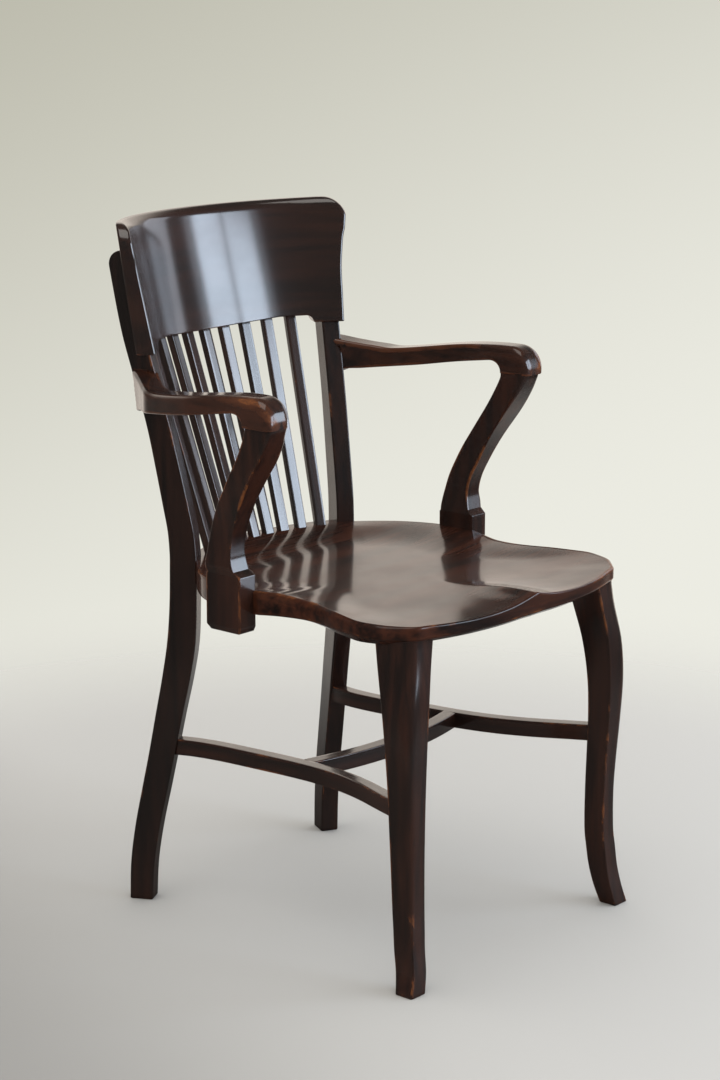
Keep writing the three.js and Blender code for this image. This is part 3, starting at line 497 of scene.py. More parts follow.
@dataclass(frozen=True)
class Polish:
    """Dark French polish on hardwood, worn through on its arrises."""

    name: str
    deep: tuple[float, float, float] = (0.0068, 0.0025, 0.0016)
    warm: tuple[float, float, float] = (0.032, 0.0095, 0.0046)
    worn: tuple[float, float, float] = (0.2, 0.066, 0.017)
    rubbed: tuple[float, float, float] = (0.085, 0.025, 0.0085)
    wear: float = 0.35  # how much of the arrises is worn through
    reach: float = 2.2  # millimetres that the wear runs in from an arris
    shine: float = 1.0
    roughness: float = 0.42
    film: float = 0.13  # roughness of the polish itself
    figure: float = 1.0  # strength of the grain
    lustre: float = 1.85  # index of refraction of the polish

    def material(self) -> bpy.types.Material:
        """Builds the finish.

        Returns:
            A material that reads the attributes grain and arris.
        """
        material = bpy.data.materials.new(self.name)
        kit = NodeKit.of(material)
        grain = kit.node("ShaderNodeAttribute", {"attribute_name": "grain"}, {}, "Vector")
        arris = kit.node("ShaderNodeAttribute", {"attribute_name": "arris"}, {}, "Fac")
        broad, bands, pores, clouds, scuffs, patches, specks, dents = (
            kit.noise(grain, (run, spread, spread), detail, rough)
            for run, spread, detail, rough in (
                BROAD, BANDS, PORES, CLOUDS, SCUFFS, PATCHES, SPECKS, DENTS
            )
        )
        tone = (broad * 0.5 + bands * 0.5).between(0.36, 0.64) * self.figure
        body = kit.blend(tone, self.deep, self.warm)
        lines = pores.between(0.56, 0.7) * (0.45 * self.figure)
        body = kit.blend(lines, body, tuple(part * 0.45 for part in self.deep))
        ragged = scuffs * 0.6 + patches * 0.8
        near = 1.0 - arris.between(0.0, self.reach)
        halo = 1.0 - arris.between(0.5, self.reach * 3.5)
        bare = (ragged * near).between(0.92 - self.wear * 0.75, 1.02 - self.wear * 0.72)
        thin = (ragged * halo).between(0.8 - self.wear * 0.6, 1.12 - self.wear * 0.6)
        bare = bare * (0.25 + specks.between(0.42, 0.62) * 0.75)
        body = kit.blend(thin * 0.75, body, self.rubbed)
        body = kit.blend(bare * 0.75, body, self.worn)
        dented = dents.between(0.75, 0.8)
        body = kit.blend(dented * 0.7, body, tuple(part * 0.3 for part in self.deep))
        haze = clouds.between(0.3, 0.75)
        height = bands * 0.35 + pores * 0.22 + clouds * 0.8 - dented * 0.6
        relief = {"Strength": 0.18, "Distance": 0.0005, "Height": height}
        kit.surface({
            "Base Color": body,
            "Roughness": self.roughness + haze * 0.14 + bare * 0.22,
            "Normal": kit.node("ShaderNodeBump", {}, relief),
            "Coat Weight": (self.shine - haze * 0.12 - bare * 0.5 - thin * 0.12).limited(),
            "Coat Roughness": self.film,
            "Coat IOR": self.lustre,
            "Specular IOR Level": 0.12,
        })
        return material


@dataclass(frozen=True)
class HiddenStock:
    """Bare dowel wood or plain steel, for the fixings inside the joints."""

    name: str
    tones: tuple[Colour, Colour]
    metallic: float
    roughness: float

    def material(self) -> bpy.types.Material:
        """Builds the finish from the object's own coordinates."""
        material = bpy.data.materials.new(self.name)
        kit = NodeKit.of(material)
        place = kit.node("ShaderNodeTexCoord", {}, {}, "Object")
        fine = kit.noise(place, (900.0, 900.0, 160.0), 4.0, 0.55)
        kit.surface({
            "Base Color": kit.blend(fine, *self.tones),
            "Metallic": self.metallic,
            "Roughness": self.roughness + fine * 0.2,
        })
        return material


# The chair

SEAT_TOP = 452.0
SEAT_UNDERSIDE = 423.0
RAIL_BOTTOM = 711.0
RAIL_TOP = 871.0
SOFTENED = 1.6
TUCK = 3.0  # how far a piece runs on inside the one that carries it
FOOT_EASE = ((0, 1.2), (0.5, 0.4), (1.4, 0))  # heights at a foot's rim, with their insets


def over(places: Sequence[float], *values: float) -> Curve:
    """The curve with these values at these places."""
    return Curve(list(zip(places, values, strict=True)))


@dataclass
class RearPosts:
    """Two posts, each one board from the floor to the crest rail."""

    height: float = RAIL_TOP - 33
    thickness: float = 24
    depth: float = 34.5
    foot_splay: float = 61
    top_lean: float = 79
    side: float = 148.3
    back: float = 197.5
    turn: float = math.radians(28)
    top_round: float = 20
    splay: Curve = Curve(
        [(0, 1), (0.11, 0.96), (0.22, 0.84), (0.33, 0.67), (0.44, 0.5), (0.555, 0.33), (0.66, 0.17),
         (0.765, 0.045), (0.88, -0.005), (1, -0.02)]
    )
    lean: Curve = Curve(
        [(0, -0.02), (0.09, 0.013), (0.176, 0.09), (0.306, 0.216), (0.435, 0.35), (0.6, 0.56),
         (0.746, 0.747), (1, 0.987)]
    )
    depths: Curve = Curve(
        [(0, 0.87), (0.06, 0.907), (0.12, 0.945), (0.18, 0.974), (0.24, 0.985), (0.3, 1.02),
         (0.36, 1.064), (0.41, 1.072), (0.47, 1.02), (0.54, 1), (0.62, 0.962), (0.74, 0.87),
         (0.88, 0.84), (1, 0.74)]
    )

    def sweep_at(self, height: float) -> float:
        """Backward offset of the middle of the post at a height."""
        if height < SEAT_TOP:
            return self.foot_splay * self.splay(height / SEAT_TOP)
        return self.top_lean * self.lean((height - SEAT_TOP) / (self.height - SEAT_TOP))

    def front_at(self, height: float) -> float:
        """The front face at a height, along the board."""
        return self.sweep_at(height) - self.depth * self.depths(height / self.height) / 2

    def back_at(self, height: float) -> float:
        """The back face at a height, along the board."""
        return self.sweep_at(height) + self.depth * self.depths(height / self.height) / 2

    def place(self, flat: Numbers) -> Numbers:
        """Takes rows of across and along the board to rows of x and y."""
        cos, sin = math.cos(self.turn), math.sin(self.turn)
        x = self.side + flat[:, 0] * cos + flat[:, 1] * sin
        y = self.back - flat[:, 0] * sin + flat[:, 1] * cos
        return np.column_stack((x, y))

    def unplace(self, x: Numbers, y: Numbers) -> tuple[Numbers, Numbers]:
        """Takes x and y back to across and along the board."""
        cos, sin = math.cos(self.turn), math.sin(self.turn)
        dx, dy = x - self.side, y - self.back
        return dx * cos - dy * sin, dx * sin + dy * cos

    def ring(self, body: Sweep, height: float, inset: float = 0, back_inset: float = 0) -> None:
        """Adds the post's section at a height to a body."""
        half = self.thickness / 2 - inset
        front, back = self.front_at(height) + inset, self.back_at(height) - inset - back_inset
        body.add(*upright(outline(-half, half, front, back, [SOFTENED] * 4), height, self.place))

    def build(self, finish: bpy.types.Material) -> None:
        """Makes both posts.

        Args:
            finish: their material.
        """
        body = Sweep()
        for height, inset in FOOT_EASE:
            self.ring(body, height, inset)
        for height in np.linspace(5, self.height - self.top_round - 2, 110):
            self.ring(body, float(height))
        for turn in np.linspace(0, math.pi / 2, 12):
            height = self.height - self.top_round * (1 - math.sin(turn))
            self.ring(body, height, 0, self.top_round * (1 - math.cos(turn)))
        put_pair(body, "rear_post", "board", 11, finish)


LEG_SHARES = (0, 0.06, 0.118, 0.176, 0.235, 0.353, 0.47, 0.588, 0.706, 0.824, 0.93, 1)


@dataclass
class FrontLegs:
    """Two square legs that swell at the knee and kick out at the foot."""

    side: float = 202.5
    front: float = 219
    sway: float = 13
    top_width: float = 46
    top_depth: float = 50
    top_round: float = 27
    outside: Curve = over(
        LEG_SHARES, 1.04, 0.46, 0.17, 0.02, 0, 0.19, 0.46, 0.75, 0.95, 0.87, 0.6, 0.35
    )
    fronts: Curve = over(
        LEG_SHARES, 0.96, 0.67, 0.35, 0.18, 0.02, 0, 0.12, 0.28, 0.4, 0.34, 0, -0.23
    )
    widths: Curve = over(
        LEG_SHARES, 0.554, 0.533, 0.511, 0.513, 0.548, 0.6, 0.648, 0.704, 0.767, 0.83, 0.93, 1
    )
    depths: Curve = over(
        LEG_SHARES, 0.51, 0.56, 0.594, 0.61, 0.607, 0.61, 0.634, 0.668, 0.74, 0.85, 0.94, 1
    )
    rounds: Curve = Curve(
        [(0, 0.08), (0.18, 0.08), (0.25, 0.22), (0.4, 0.42), (0.7, 0.44), (0.82, 0.6), (0.94, 1),
         (1, 1)]
    )

    def faces(self, height: float) -> Faces:
        """The left leg's inner, outer, front and back faces at a height."""
        share = height / SEAT_UNDERSIDE
        right = self.side + self.sway * self.outside(share)
        low = -self.front - self.sway * self.fronts(share)
        left = right - self.top_width * self.widths(share)
        return left, right, low, low + self.top_depth * self.depths(share)

    def ring(self, body: Sweep, height: float, inset: float = 0) -> Numbers:
        """Adds the leg's section at a height to a body and returns its places."""
        left, right, low, high = self.faces(height)
        outer = self.top_round * self.rounds(height / SEAT_UNDERSIDE)
        radii = [SOFTENED, outer, SOFTENED, SOFTENED]
        section = outline(left + inset, right - inset, low + inset, high - inset, radii)
        body.add(*upright(section, height, lambda flat: flat))
        body.rings[-1][:, 6] = np.minimum(body.rings[-1][:, 6], 1.2 + 0.1 * height)
        return body.rings[-1]

    def build(self, finish: bpy.types.Material, seat: "Seat") -> None:
        """Makes both legs, each fitted to the underside of the seat.

        Args:
            finish: their material.
            seat: the seat above them.
        """
        body = Sweep()
        for height, inset in FOOT_EASE:
            self.ring(body, height, inset)
        for height in np.linspace(5, SEAT_UNDERSIDE - 1.5, 84):
            self.ring(body, float(height))
        last = self.ring(body, SEAT_UNDERSIDE)
        last[:, 2] = [seat.under_at(x, y) + 0.2 for x, y in last[:, :2]]
        put_pair(body, "front_leg", "turned_square", 21, finish)


@dataclass
class Seat:
    """One thick board, saddled for the thighs inside a flat rim."""

    front: float = 245
    length: float = 482
    half_width: float = 229
    front_drop: float = 8.4
    bevel_height: float = 9.5
    bevel_width: float = 12
    back_radius: float = 291
    post_corner: float = 137
    dish_depth: float = 10
    rim_width: float = 25
    side_roll: float = 105
    back_roll: float = 95
    pommel: float = 11
    pommel_length: float = 175
    pommel_width: float = 36
    pommel_tip: float = 3  # the ridge is rounded over this much to each side
    pommel_gain: float = 1.085  # makes up for the height that the rounding takes
    edge_round: float = 2.4
    shoulder: float = 8.5  # radius of the rolled edge along the sides
    shoulder_start: tuple[float, float] = (-232, -170)  # it widens between these, along the seat
    shoulder_end: tuple[float, float] = (-30, 40)
    crisp_rim: tuple[float, float] = (110, 185)  # the rim under the slats sets in between these
    lip: float = 27  # beyond the rim, where the surface has the most rings
    edge_shares: Sequence[tuple[float, float, float]] = (
        (0, 0, -0.33), (0.088, 0.001, 0.19), (0.196, 0, 0.61), (0.304, 0.002, 0.85),
        (0.414, 0.0075, 0.99), (0.526, 0.016, 1), (0.655, 0.031, 0.95), (0.774, 0.049, 0.85),
        (0.835, 0.0585, 0.81), (0.89, 0.0805, 0.75), (0.956, 0.1115, 0.57), (0.988, 0.147, 0.49),
        (1, 0.18, 0.43), (0.978, 0.229, 0.38), (0.945, 0.2845, 0.33), (0.905, 0.3425, 0.33),
        (0.88, 0.4, 0.32), (0.881, 0.454, 0.24), (0.891, 0.493, 0.05), (0.908, 0.523, 0),
        (0.921, 0.546, 0), (0.921, 0.578, 0), (0.921, 0.67, 0), (0.907, 0.7, 0),
        (0.8525, 0.76, 0), (0.7585, 0.822, 0), (0.654, 0.873, 0),
    )
    bevel: Curve = Curve(
        [(0, 0.76), (0.03, 0.72), (0.0585, 0.69), (0.0805, 0.74), (0.1115, 0.84), (0.147, 0.95),
         (0.18, 1), (0.229, 0.95), (0.2845, 0.8), (0.3425, 0.62), (0.4, 0.44), (0.454, 0.27),
         (0.493, 0.15), (0.523, 0.06), (0.546, 0), (1, 0)]
    )

    def __post_init__(self) -> None:
        """Works out the edge once."""
        self.edge = self._edge()

    def _edge(self) -> Numbers:
        """The upper arris all round, as rows of x, y and z."""
        table = np.array(self.edge_shares)
        knots = np.column_stack(
            (table[:, 0] * self.half_width, table[:, 1] * self.length - self.front,
             SEAT_TOP - table[:, 2] * self.front_drop)
        )
        side = self._through(knots, 120)
        centre = self.length - self.front - self.back_radius
        turn = math.asin(self.post_corner / self.back_radius)
        turns = np.linspace(turn, 0, 24)
        back = np.column_stack(
            (self.back_radius * np.sin(turns), centre + self.back_radius * np.cos(turns),
             np.full(len(turns), SEAT_TOP))
        )
        left = np.vstack((side, back))
        right = left[1:-1][::-1] * (-1, 1, 1)
        return np.vstack((left, right))

    @staticmethod
    def _through(knots: Numbers, count: int) -> Numbers:
        """A centripetal spline through points.

        Args:
            knots: rows of x, y and z.
            count: spaces between the points that are read off.

        Returns:
            Evenly read points, both ends among them.
        """
        before = 2 * knots[0] - knots[1]
        after = 2 * knots[-1] - knots[-2]
        line = np.vstack((before, knots, after))
        found = []
        for share in np.linspace(0, len(knots) - 1, count + 1):
            i = min(int(share), len(knots) - 2)
            a, b, c, d = line[i : i + 4]
            t1 = np.linalg.norm(b - a) ** 0.5
            t2 = t1 + np.linalg.norm(c - b) ** 0.5
            t3 = t2 + np.linalg.norm(d - c) ** 0.5
            t = mix(t1, t2, share - i)
            ab = a * (t1 - t) / t1 + b * t / t1
            bc = b * (t2 - t) / (t2 - t1) + c * (t - t1) / (t2 - t1)
            cd = c * (t3 - t) / (t3 - t2) + d * (t - t2) / (t3 - t2)
            abc = ab * (t2 - t) / t2 + bc * t / t2
            bcd = bc * (t3 - t) / (t3 - t1) + cd * (t - t1) / (t3 - t1)
            found.append(abc * (t2 - t) / (t2 - t1) + bcd * (t - t1) / (t2 - t1))
        return np.array(found)

    def round_at(self, y: float) -> float:
        """Radius of the upper edge, which widens to a rolled shoulder along the sides."""
        share = smooth(y, *self.shoulder_start) * (1 - smooth(y, *self.shoulder_end))
        return mix(self.edge_round, self.shoulder, share)

    def bevel_at(self, y: float) -> float:
        """Height of the bevel under the edge at a place along the seat."""
        return self.bevel_height * self.bevel((y + self.front) / self.length)

    def under_at(self, x: float, y: float) -> float:
        """Height of the underside above a place, its bevel included."""
        gaps = np.hypot(self.edge[:, 0] - abs(x), self.edge[:, 1] - y)
        nearest = int(np.argmin(gaps))
        inside = math.hypot(x, y) < math.hypot(*self.edge[nearest, :2])
        inset = float(gaps[nearest]) if inside else 0.0
        share = max(1 - inset / self.bevel_width, 0.0)
        return SEAT_UNDERSIDE + self.bevel_at(float(self.edge[nearest, 1])) * share

    def dish_at(self, x: float, y: float) -> float:
        """Height of the saddled surface away from the rim."""
        ahead = smooth(-y, -self.pommel_length / 4, self.front)
        floor = SEAT_TOP - mix(self.dish_depth, self.front_drop, ahead)
        ridge = smooth(-y, self.front - self.pommel_length, self.front)
        crown = math.exp(-math.hypot(x, self.pommel_tip) / self.pommel_width)
        return floor + self.pommel * ridge * crown * self.pommel_gain

    def surface(self, edge: Numbers, inset: float) -> Numbers:
        """The upper surface at an inset from a point of the edge."""
        share = 1 - inset / math.hypot(edge[0], edge[1])
        x, y = edge[0] * share, edge[1] * share
        return np.array((x, y, mix(edge[2], self.dish_at(x, y), self.into_dish(y, inset))))

    def into_dish(self, y: float, inset: float) -> float:
        """How far the surface has sunk into the dish: 0 on the rim, 1 at its full depth.

        The rim is flat under the slats, with a crisp edge in front of them. At the
        sides the board rolls into the dish from its outer edge.
        """
        share = min(max((inset - self.rim_width) / self.back_roll, 0.0), 1.0)
        back = 0.6 * share + 0.4 * smooth(share, 0.0, 1.0)
        start = smooth(0.0, -20.0, self.side_roll)
        side = (smooth(inset, -20.0, self.side_roll) - start) / (1 - start)
        return mix(side, back, smooth(y, *self.crisp_rim))

    def build(self, finish: bpy.types.Material) -> None:
        """Makes the seat.

        Args:
            finish: its material.
        """
        body = Sweep(ladder=False)
        bowl = self.rim_width + self.lip
        bevels = np.array([self.bevel_at(y) for y in self.edge[:, 1]])

        def ring(inset: float | Numbers, levels: Numbers | None, arris: float | Numbers) -> None:
            """Adds one ring, on the upper surface where no levels are given."""
            insets = np.broadcast_to(inset, len(self.edge))
            places = np.array([self.surface(p, float(i)) for p, i in zip(self.edge, insets)])
            if levels is not None:
                places[:, 2] = levels
            body.add(places, places, np.broadcast_to(arris, len(places)))

        tops = self.edge[:, 2]
        rounds = np.array([self.round_at(y) for y in self.edge[:, 1]])
        for inset in (150.0, 80.0, 40.0, self.bevel_width):
            ring(inset, np.full(len(tops), SEAT_UNDERSIDE), inset)
        for inset in (8.0, 4.0, SOFTENED):
            ring(inset, SEAT_UNDERSIDE + bevels * (1 - inset / self.bevel_width), inset)
        ring(SOFTENED * 0.3, SEAT_UNDERSIDE + bevels + SOFTENED * 0.3, 0.0)
        ring(0.0, SEAT_UNDERSIDE + bevels + SOFTENED, 0.0)
        for share, arris in ((0.12, 2.0), (0.3, 4.5), (0.7, 4.0), (0.88, 1.8)):
            low, high = SEAT_UNDERSIDE + bevels + SOFTENED, tops - rounds
            ring(0.0, low + (high - low) * share, arris)
        for turn in np.linspace(0, math.pi / 2, 8):
            reach = 0.55 * (1 - math.sin(turn)) * (rounds - self.edge_round)
            ring(rounds * (1 - math.cos(turn)), tops - rounds * (1 - math.sin(turn)), reach)
        for beyond in (1.6, 4.0, 7.5, 12.0, 15.5):
            ring(rounds + beyond, None, beyond)
        for inset in np.linspace(self.rim_width, bowl, 12):
            ring(float(inset), None, float(inset))
        reaches = np.hypot(self.edge[:, 0], self.edge[:, 1])
        for share in np.linspace(0.04, 0.985, 34):
            ring(mix(bowl, reaches, float(share)), None, FAR)
        put(body.mesh("seat_board", Side.LEFT, 31), finish, ["seat"])


@dataclass
class CrestRail:
    """A thick board curved in plan, with winged ends and an ear over each post."""

    posts: RearPosts
    radius: float = 258
    ahead_of_post: float = 25.7
    lean: float = 44
    thickness: float = 24
    top_thickness: float = 15
    top_round: float = 10.5
    top_round_depth: float = 9
    top_sag: float = 3.4
    top_sag_reach: float = 190
    wing_reach: float = 33.6
    ear_width: float = 40
    arch_rise: float = 9
    arch_sag: float = 4.5
    arch_sag_reach: float = 107
    arch_round: float = 9
    wing_round: float = 24
    end_round: float = 3.5
    ends: Curve = Curve(
        [(0, 0.868), (0.04, 0.872), (0.22, 0.893), (0.43, 0.917), (0.58, 0.943), (0.69, 0.965),
         (0.82, 1), (1, 1)]
    )

    def __post_init__(self) -> None:
        """Places the rail by the posts."""
        sweep = self.posts.sweep_at(RAIL_BOTTOM)
        x, y = self.posts.place(np.array([[0.0, sweep]]))[0]
        angle = math.asin(x / self.radius)
        self.face_back = y - self.ahead_of_post + self.radius * (1 - math.cos(angle))
        self.half_length = self.radius * angle + self.wing_reach
        self.ear_inside = self.half_length * self.ends(0) - self.ear_width

    def share_at(self, height: float) -> float:
        """The share of the rail's height."""
        return (height - RAIL_BOTTOM) / (RAIL_TOP - RAIL_BOTTOM)

    def place(self, along: float, depth: float, height: float) -> tuple[float, float, float]:
        """A place along the curve of the face, behind it, and up."""
        angle = along / self.radius
        radius = self.radius + depth
        face = self.face_back + self.lean * self.share_at(height)
        return radius * math.sin(angle), face - self.radius + radius * math.cos(angle), height

    def under_at(self, along: float) -> float:
        """Height of the lower edge, which arches and sags between the ears."""
        inward = self.ear_inside - abs(along)
        if inward <= 0:
            return RAIL_BOTTOM
        outward = min(abs(along) / self.arch_sag_reach, 1.0)
        cove = round_inset(self.arch_round, inward)
        return RAIL_BOTTOM + self.arch_rise - self.arch_sag * (1 - outward**2) - cove

    def columns(self, end: float) -> Numbers:
        """Places along the face between the rounded ends, close together at the coves."""
        ear, cove = self.ear_inside, self.arch_round
        turns = np.linspace(0, math.pi / 2, 9)
        half = np.concatenate(
            (np.linspace(0, ear - cove, 44)[:-1], ear - cove * np.cos(turns), [ear + 0.4],
             np.linspace(ear + 3, ear + 0.97 * (end - ear), 9))
        )
        return np.concatenate((-half[::-1], half[1:]))

    def build(self, finish: bpy.types.Material) -> None:
        """Makes the rail.

        Args:
            finish: its material.
        """
        body = Sweep()
        edge = [0.0, 0.3, 0.8, SOFTENED]
        low = np.linspace(3.5, 120, 34)
        turns = np.concatenate((np.linspace(0, 1.2, 14), np.linspace(1.22, math.pi / 2, 12)))
        wing = RAIL_TOP - RAIL_BOTTOM - self.wing_round * (1 - np.sin(turns))
        for rise in (*edge, *low, *wing):
            body.rings.append(self._ring(float(rise)))
        put(body.mesh("crest_rail_board", Side.LEFT, 41), finish, ["crest_rail"])

    def _ring(self, rise: float) -> Numbers:
        """The rail's section at a rise above its lower edge.

        Args:
            rise: above the ears' lower end, before the edge arches.

        Returns:
            A ring as Sweep holds it.
        """
        whole = RAIL_TOP - RAIL_BOTTOM
        share, below = rise / whole, whole - rise
        foot = round_inset(SOFTENED, rise)
        end = self.half_length * self.ends(share) - round_inset(self.wing_round, below)
        rounding = self.top_round_depth / self.top_round * round_inset(self.top_round, below)
        front = rounding + foot
        back = mix(self.thickness, self.top_thickness, share) - round_inset(SOFTENED, below) - foot
        radius = min(self.end_round, (back - front) * 0.45)
        turns = np.linspace(0, math.pi / 2, 6)[1:]
        out, into = end - radius * (1 - np.sin(turns)), radius * (1 - np.cos(turns))
        right = np.vstack(
            (np.column_stack((out, front + into)), np.column_stack((out, back - into))[::-1])
        )
        columns = self.columns(end - self.end_round)
        near = np.column_stack((columns, np.full(len(columns), front)))
        far = np.column_stack((columns, np.full(len(columns), back)))
        rows = np.vstack((near, right, far[::-1], right[::-1] * (-1, 1)))
        made = []
        for along, depth in np.roll(rows, len(turns), axis=0):
            under = self.under_at(along)
            outward = min(abs(along) / self.top_sag_reach, 1.0)
            top = RAIL_TOP - self.top_sag * (1 - outward**2)
            height = mix(under, top, share)
            from_end = max(end - abs(along) - radius, 0.0)
            from_top = below + (1 if depth > front + 2 else 3.5)
            arris = min(from_end + 3.5, max(rise - 1, 0.0), from_top)
            made.append((*self.place(along, depth, height), along, height, depth, arris))
        return np.array(made)


SUPPORT_SHARES = (
    0, 0.069, 0.148, 0.254, 0.36, 0.466, 0.571, 0.677, 0.783, 0.889, 0.968, 1
)


@dataclass
class ArmSupports:
    """Two S-curved supports, each rising from a square block on the side of the seat."""

    top: float = 661
    bottom: float = 402
    block_top: float = 472
    block_front: float = 21.5
    block_depth: float = 55.5
    block_inside: float = 206.5
    block_outside: float = 235
    top_inside: float = 221.5
    top_outside: float = 257.7
    front_reach: float = 68
    back_reach: float = 86.5
    foot_chamfer: float = 6
    top_round: float = 8
    round_start: float = 600  # the front arrises widen from here to top_round
    fronts: Curve = over(
        SUPPORT_SHARES,
        -0.11, -0.16, -0.188, -0.126, 0.002, 0.146, 0.316, 0.512, 0.715, 0.894, 1, 1.035,
    )
    backs: Curve = over(
        SUPPORT_SHARES, 0, 0.022, 0.058, 0.128, 0.22, 0.343, 0.495, 0.649, 0.806, 0.929, 0.995, 1.01
    )
    outsides: Curve = Curve(
        [(0, 0.02), (0.069, 0.14), (0.148, 0.1), (0.254, 0.16), (0.36, 0.28), (0.466, 0.45),
         (0.571, 0.61), (0.677, 0.78), (0.783, 0.89), (0.889, 0.98), (1, 1)]
    )
    insides: Curve = over(
        SUPPORT_SHARES, 0.07, 0.17, 0.3, 0.39, 0.59, 0.67, 0.67, 0.7, 0.68, 0.81, 1, 1
    )

    def faces(self, share: float) -> Faces:
        """The inner, outer, front and back faces at a share above the block."""
        block_back = self.block_front + self.block_depth
        return (
            mix(self.block_inside, self.top_inside, self.insides(share)),
            mix(self.block_outside, self.top_outside, self.outsides(share)),
            self.block_front - self.front_reach * self.fronts(share),
            block_back - self.back_reach * self.backs(share),
        )

    def build(self, finish: bpy.types.Material) -> None:
        """Makes both supports.

        Args:
            finish: their material.
        """
        block_back = self.block_front + self.block_depth
        block = (self.block_inside, self.block_outside, self.block_front, block_back)
        body = Sweep()

        def ring(faces: Faces, height: float, inset: float) -> None:
            """Adds a section at a height."""
            left, right, low, high = faces
            front = mix(SOFTENED, self.top_round, smooth(height, self.round_start, self.top))
            radii = [front, front, SOFTENED, SOFTENED]
            section = outline(left, right - inset / 4, low + inset / 2, high - inset, radii)
            body.add(*upright(section, height, lambda flat: flat))

        ring(block, self.bottom, self.foot_chamfer)
        for share in np.linspace(0.06, 1, 5):
            rise = self.foot_chamfer * share
            ring(block, self.bottom + rise, self.foot_chamfer - rise)
        for height in np.linspace(self.bottom + 8, self.block_top - SOFTENED, 14):
            ring(block, float(height), 0)
        for part in (0.4, 0.8, 1.0):
            ring(block, self.block_top - SOFTENED * (1 - part), SOFTENED * part * part)
        for share in np.linspace(0.03, 1, 76):
            height = mix(self.block_top, self.top, float(share)) + (TUCK if share == 1 else 0)
            ring(self.faces(float(share)), height, 0)
        put_pair(body, "arm_support", "scroll", 51, finish)


@dataclass
class Arms:
    """Two arms: a broad elbow over the support, running back to a lap on the post."""

    posts: RearPosts
    supports: ArmSupports
    length: float = 313
    nose: float = ARM_NOSE
    nose_round: float = 28
    nose_side_round: float = 10
    elbow_outside: float = 262
    elbow_inside: float = 222
    rear_outside: float = 190
    rear_inside: float = 172
    top: float = 697.5
    fall: float = 20
    underside: float = 677
    underside_fall: float = 37
    fillet_width: float = 20
    elbow_round: float = 17
    outer_round: float = 8
    inner_round: float = 4
    elbow_inner_round: float = 9
    crown: float = 0.42  # a round corner's crown is this share of its radius from the tip
    clearance: float = 0.15  # between the arm and the post that it laps
    outsides: Curve = Curve(
        [(0, 1), (0.29, 1), (0.36, 1.005), (0.42, 0.98), (0.48, 0.915), (0.545, 0.835),
         (0.61, 0.75), (0.675, 0.665), (0.738, 0.57), (0.786, 0.43), (0.86, 0.2), (0.93, 0),
         (1, -0.2)]
    )
    insides: Curve = Curve(
        [(0, 1), (0.163, 0.98), (0.24, 1.03), (0.29, 1.08), (0.355, 1.1), (0.42, 1.04),
         (0.545, 0.82), (0.61, 0.71), (0.675, 0.6), (0.738, 0.46), (0.786, 0.26), (0.84, 0),
         (1, -0.8)]
    )
    tops: Curve = Curve(
        [(0, 0), (0.16, 0.02), (0.29, 0.2), (0.42, 0.46), (0.545, 0.74), (0.64, 0.93), (0.69, 0.98),
         (0.738, 0.9), (0.786, 0.78), (0.84, 0.6), (0.9, 0.38), (1, 0.1)]
    )
    unders: Curve = Curve(
        [(0, -0.1), (0.163, -0.01), (0.29, 0.15), (0.42, 0.32), (0.545, 0.49), (0.675, 0.635),
         (0.738, 0.7), (0.786, 0.74), (0.84, 0.77), (0.9, 0.92), (1, 1.1)]
    )

    def under_at(self, distance: float) -> float:
        """Height of the underside at a distance from the nose."""
        open_height = self.underside - self.underside_fall * self.unders(distance / self.length)
        start = self.supports.faces(1)[3] + self.nose
        share = min(max((distance - start) / self.fillet_width, 0.0), 1.0)
        return mix(self.supports.top + 0.3, open_height, math.sqrt(1 - (1 - share) ** 2))

    def ring(self, distance: float) -> Numbers:
        """The arm's section at a distance from the nose, kept clear of the post."""
        share = distance / self.length
        inset = round_inset(self.nose_side_round, distance)
        left = mix(self.rear_inside, self.elbow_inside, self.insides(share)) + inset
        right = mix(self.rear_outside, self.elbow_outside, self.outsides(share)) - inset
        high = self.top - self.fall * self.tops(share) - round_inset(self.nose_round, distance)
        outer = mix(self.elbow_round, self.outer_round, smooth(distance, self.nose, 2 * self.nose))
        low = self.under_at(distance)
        inner = mix(self.elbow_inner_round, self.inner_round, smooth(distance, 20, 2 * self.nose))
        radii = [SOFTENED, SOFTENED, outer * 0.8, inner]
        section = outline(left, right, low, high, radii, 7)
        x, z, arris = section.T
        y = np.full(len(section), distance - self.nose)
        grain = np.column_stack((y, x, z))
        # Round as it is, the elbow's outer corner wears like an arris, and less further back
        corner = np.maximum(np.hypot(right - x, high - z) - self.crown * outer, 0)
        away = 6 * smooth(distance, 0.12 * self.length, 0.45 * self.length)
        arris = np.minimum(arris + 1.2, 0.42 * corner + 0.6 + away)
        face = self.posts.thickness / 2 + self.clearance
        across, along = self.posts.unplace(x, y)
        fronts = np.array([self.posts.front_at(height) for height in z])
        backs = np.array([self.posts.back_at(height) for height in z])
        if across.max() > face:
            beside = along > fronts - self.clearance
            across = np.where(beside, np.maximum(across, face), across)
            along = np.minimum(along, backs)
        else:
            across = np.clip(across, -face / 2, face / 2)
            along = np.minimum(along, backs - TUCK)
        x, y = self.posts.place(np.column_stack((across, along))).T
        return np.column_stack((x, y, z, grain, arris))

    def build(self, finish: bpy.types.Material) -> None:
        """Makes both arms.

        Args:
            finish: their material.
        """
        nose = self.nose_round * (1 - np.cos(np.linspace(0, math.pi / 2, 16)))
        start = self.supports.faces(1)[3] + self.nose
        fillet = start + self.fillet_width * (1 - np.cos(np.linspace(0, math.pi / 2, 12)))
        between = np.linspace(nose[-1], start, 12)[1:-1]
        rear = np.concatenate(
            (np.linspace(fillet[-1], 235, 62)[1:], np.linspace(235, self.length, 110)[1:])
        )
        body = Sweep([self.ring(float(d)) for d in (*nose, *between, *fillet, *rear)])
        put_pair(body, "arm", "rest", 61, finish)


# Bars that follow a path are swept by geometry nodes


